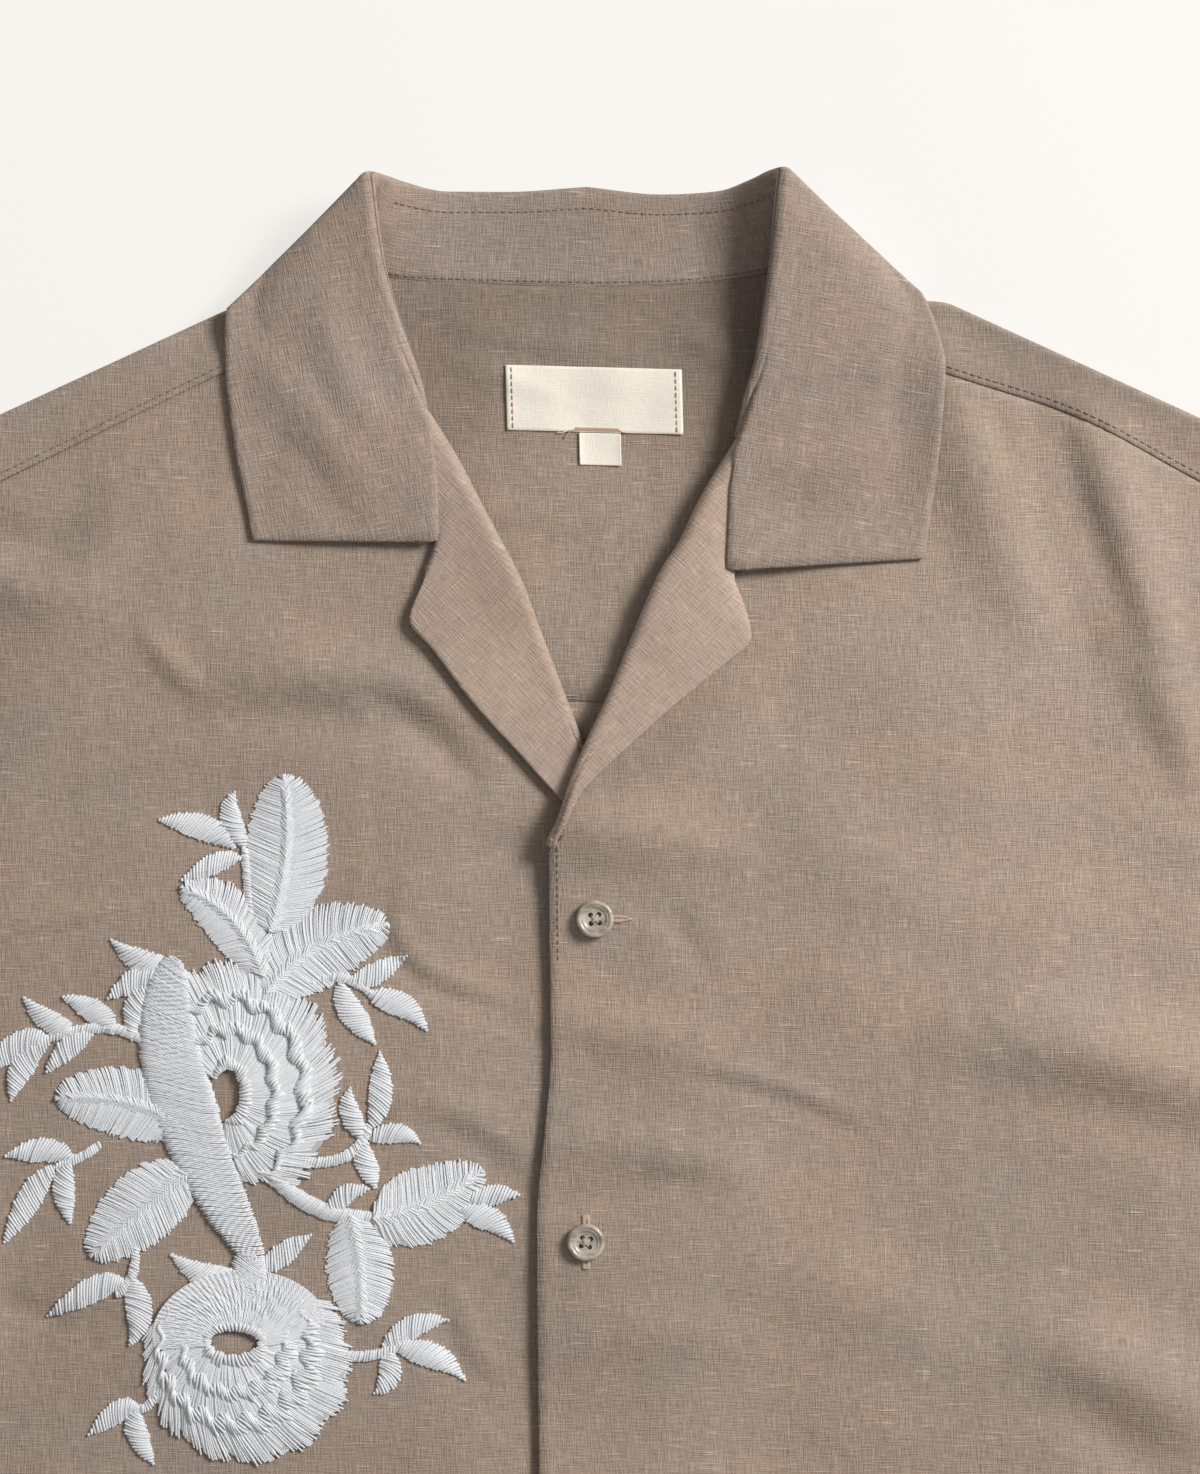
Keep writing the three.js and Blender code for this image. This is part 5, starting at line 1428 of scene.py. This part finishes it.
def along_front(side, x, drop, above):
    line = points(x, drop, front_level(SIDES[side], x, drop) + above)
    return line, np.tile([0.0, 0.0, 1.0], (len(line), 1))


def yoke_front_line(side):
    half = np.linspace(78, 228, 60)
    drop = SIDES[side]["seam_drop"](half) - 2.2
    return along_front(side, SIDES[side]["sign"] * half, drop, SHELL["yoke"] / 2 + YOKE_STEP + 0.05)


def tag_line(tag, across, down):
    x, drop, z = on_tag(tag, np.asarray(across, float), np.asarray(down, float))
    line = points(x, drop, z + TAG_CLOTH / 2 + 0.1)
    return line, np.tile([0.0, 0.0, 1.0], (len(line), 1))


edge_drops = np.linspace(212, 246, 20)
edge_x = SIDES["left"]["edge_x"](edge_drops) + 2.4
down = np.linspace(-8.6, 8.6, 14)
# line, pitch, stitch length, thread radius, thread
SEAMS = {
    "collar_edge_stitches": (along_collar(0.09, 60), 2.3, 1.5, 0.2, "seam_thread"),
    "neck_seam_stitches": (along_collar(0.955, 62), 2.3, 1.5, 0.2, "seam_thread"),
    "yoke_stitches_right": (yoke_front_line("right"), 2.5, 1.6, 0.2, "seam_thread"),
    "yoke_stitches_left": (yoke_front_line("left"), 2.5, 1.6, 0.2, "seam_thread"),
    "edge_stitches": (
        along_front("left", edge_x, edge_drops, SHELL["front"] / 2 + 0.05), 2.4, 1.6, 0.2, "seam_thread"),
    "label_stitches_1": (tag_line("label", -25.6 + 0 * down, down), 2.0, 1.5, 0.18, "label_thread"),
    "label_stitches_2": (tag_line("label", 25.6 + 0 * down, down), 2.0, 1.5, 0.18, "label_thread"),
}
for seed, (name, ((line, up), pitch, length, radius, look)) in enumerate(SEAMS.items()):
    stitch = stitch_mesh("stitch", length, radius)
    row = chains(name, [line], [up])
    bake(row, STITCHES, Pitch=pitch * MM, Stitch=stitch, Seed=seed, Thread=LOOKS[look])
    bpy.data.objects.remove(stitch)
    dress(row, None, "embroidery_thread")


def buttonhole(x, drop, angle, length, pointed=0):
    """Close stitches on both sides of a slit, and a bar across each end."""
    turn = math.radians(angle)
    runs = []

    def spot(along, across, height):
        px = x + along * math.cos(turn) - across * math.sin(turn)
        pd = drop - along * math.sin(turn) - across * math.cos(turn)
        return points(px, pd, front_level(SIDES["left"], px, pd) + SHELL["front"] / 2 + height)

    v = np.linspace(0, 1, 4)
    arch = np.sin(math.pi * v)
    for along in np.arange(-length / 2, length / 2, 0.34):
        narrow = 1 - pointed * 0.85 * max(0, along * 2 / length - 0.4) / 0.6
        for way in (1, -1):
            runs.append(spot(along + 0.2 * v, way * (0.12 + 1.1 * v) * narrow, 0.15 + 0.4 * arch))
    for end in (-1, 1):
        for k in range(5):
            runs.append(spot(end * (length / 2 - 0.3 * k), (2 * v - 1) * narrow, 0.25 + 0.25 * arch))
    return runs


holes = buttonhole(7.4, 233.8, 0, 12.5, pointed=1)
for x, drop, _ in BUTTONS[1:]:
    holes += buttonhole(x, drop, 90, 16.5)
worked_holes = chains("buttonhole_stitches", holes)
bake(worked_holes, THREADS, Radius=0.2 * MM, Thread=LOOKS["hole_thread"])
dress(worked_holes, None, "embroidery_thread")

bar = [tag_line("label", np.linspace(-6.2, 7.4, 9), np.full(9, 8.9 + k))[0] for k in (0, 0.3, 0.6)]
ends = [
    tag_line("label", [-6.2, -7.6, -9.0, -9.4], [9.4, 9.9, 11.2, 12.4])[0],
    tag_line("label", [-6.0, -8.0, -10.4, -11.8], [9.6, 9.6, 10.6, 10.4])[0],
    tag_line("label", [7.4, 8.6, 9.4], [9.3, 9.9, 10.0])[0],
]
tacked = chains("size_tab_bar", bar + ends[:1] + ends[2:])
bake(tacked, THREADS, Radius=0.2 * MM, Thread=LOOKS["label_thread"])
dress(tacked, None, "embroidery_thread")
loose = chains("loose_thread", ends[1:2])
bake(loose, THREADS, Radius=0.16 * MM, Thread=LOOKS["button_thread"])
dress(loose, None, "embroidery_thread")

# ---------------------------------------------------------------- the cut of each piece of cloth

# piece: flat width, flat length and flat area in metres, how it is held, what it lies on
SHEETS = {
    back: (0.556, 0.580, 0.3045, "laid", []),
    yoke: (0.470, 0.166, 0.0597, "folded", ["back_panel"]),
    made["front_right"]: (0.318, 0.700, 0.1805, "laid", [back, yoke]),
    made["front_left"]: (0.318, 0.697, 0.1810, "laid", [back, yoke, made["front_right"]]),
    made["facing_right"]: (0.046, 0.146, 0.0036, "folded", [made["front_right"]]),
    made["facing_left"]: (0.042, 0.132, 0.0029, "folded", [made["front_left"]]),
    collar: (0.430, 0.096, 0.0293, "folded", [yoke, made["front_right"], made["front_left"]]),
    sleeves["right"]: (0.490, 0.262, 0.0722, "laid", []),
    sleeves["left"]: (0.490, 0.262, 0.0722, "laid", []),
    tags["label"]: (0.0547, 0.0200, 0.00109, "laid", [yoke]),
    tags["size_tab"]: (0.0128, 0.0120, 0.00015, "laid", [yoke, tags["label"]]),
}
for piece, (width, length, area, held, under) in SHEETS.items():
    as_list(under)

# ---------------------------------------------------------------- floor, light and camera

FLOOR = {"half": 3, "level": -0.0005}
half, level = FLOOR["half"], FLOOR["level"]
corners = [(-half, -half, level), (half, -half, level), (half, half, level), (-half, half, level)]
floor = add_object("floor", corners, [(0, 1, 2, 3)])
floor.data.materials.append(glowing("floor", (249, 246, 242), 0.8))

world = bpy.data.worlds.new("studio")
bpy.context.scene.world = world
world.use_nodes = True
world.node_tree.nodes["Background"].inputs["Color"].default_value = (1, 1, 1, 1)
world.node_tree.nodes["Background"].inputs["Strength"].default_value = 0.27

KEY = {"bearing": 32, "height": 38, "away": 2.2, "size": 0.7, "power": 52}
lamp = bpy.data.lights.new("key", "AREA")
lamp.energy, lamp.size = KEY["power"], KEY["size"]
key = bpy.data.objects.new("key", lamp)
bearing, height = math.radians(KEY["bearing"]), math.radians(KEY["height"])
sideways = math.cos(height)
toward = Vector((math.cos(bearing) * sideways, math.sin(bearing) * sideways, math.sin(height)))
key.location = toward * KEY["away"] + Vector((0, 0.15, 0))
key.rotation_euler = toward.to_track_quat("Z", "Y").to_euler()
bpy.context.scene.collection.objects.link(key)

# a close-up from straight above the upper middle of the shirt
CAMERA = {"x": 3.75, "drop": 177.2, "away": 2.0, "tall": 460.6}
lens = bpy.data.cameras.new("camera")
lens.sensor_width = 36
lens.lens = 36 * CAMERA["away"] / (CAMERA["tall"] * MM)
camera = bpy.data.objects.new("camera", lens)
camera.location = (CAMERA["x"] * MM, (LENGTH / 2 - CAMERA["drop"]) * MM, CAMERA["away"])
bpy.context.scene.collection.objects.link(camera)
bpy.context.scene.camera = camera
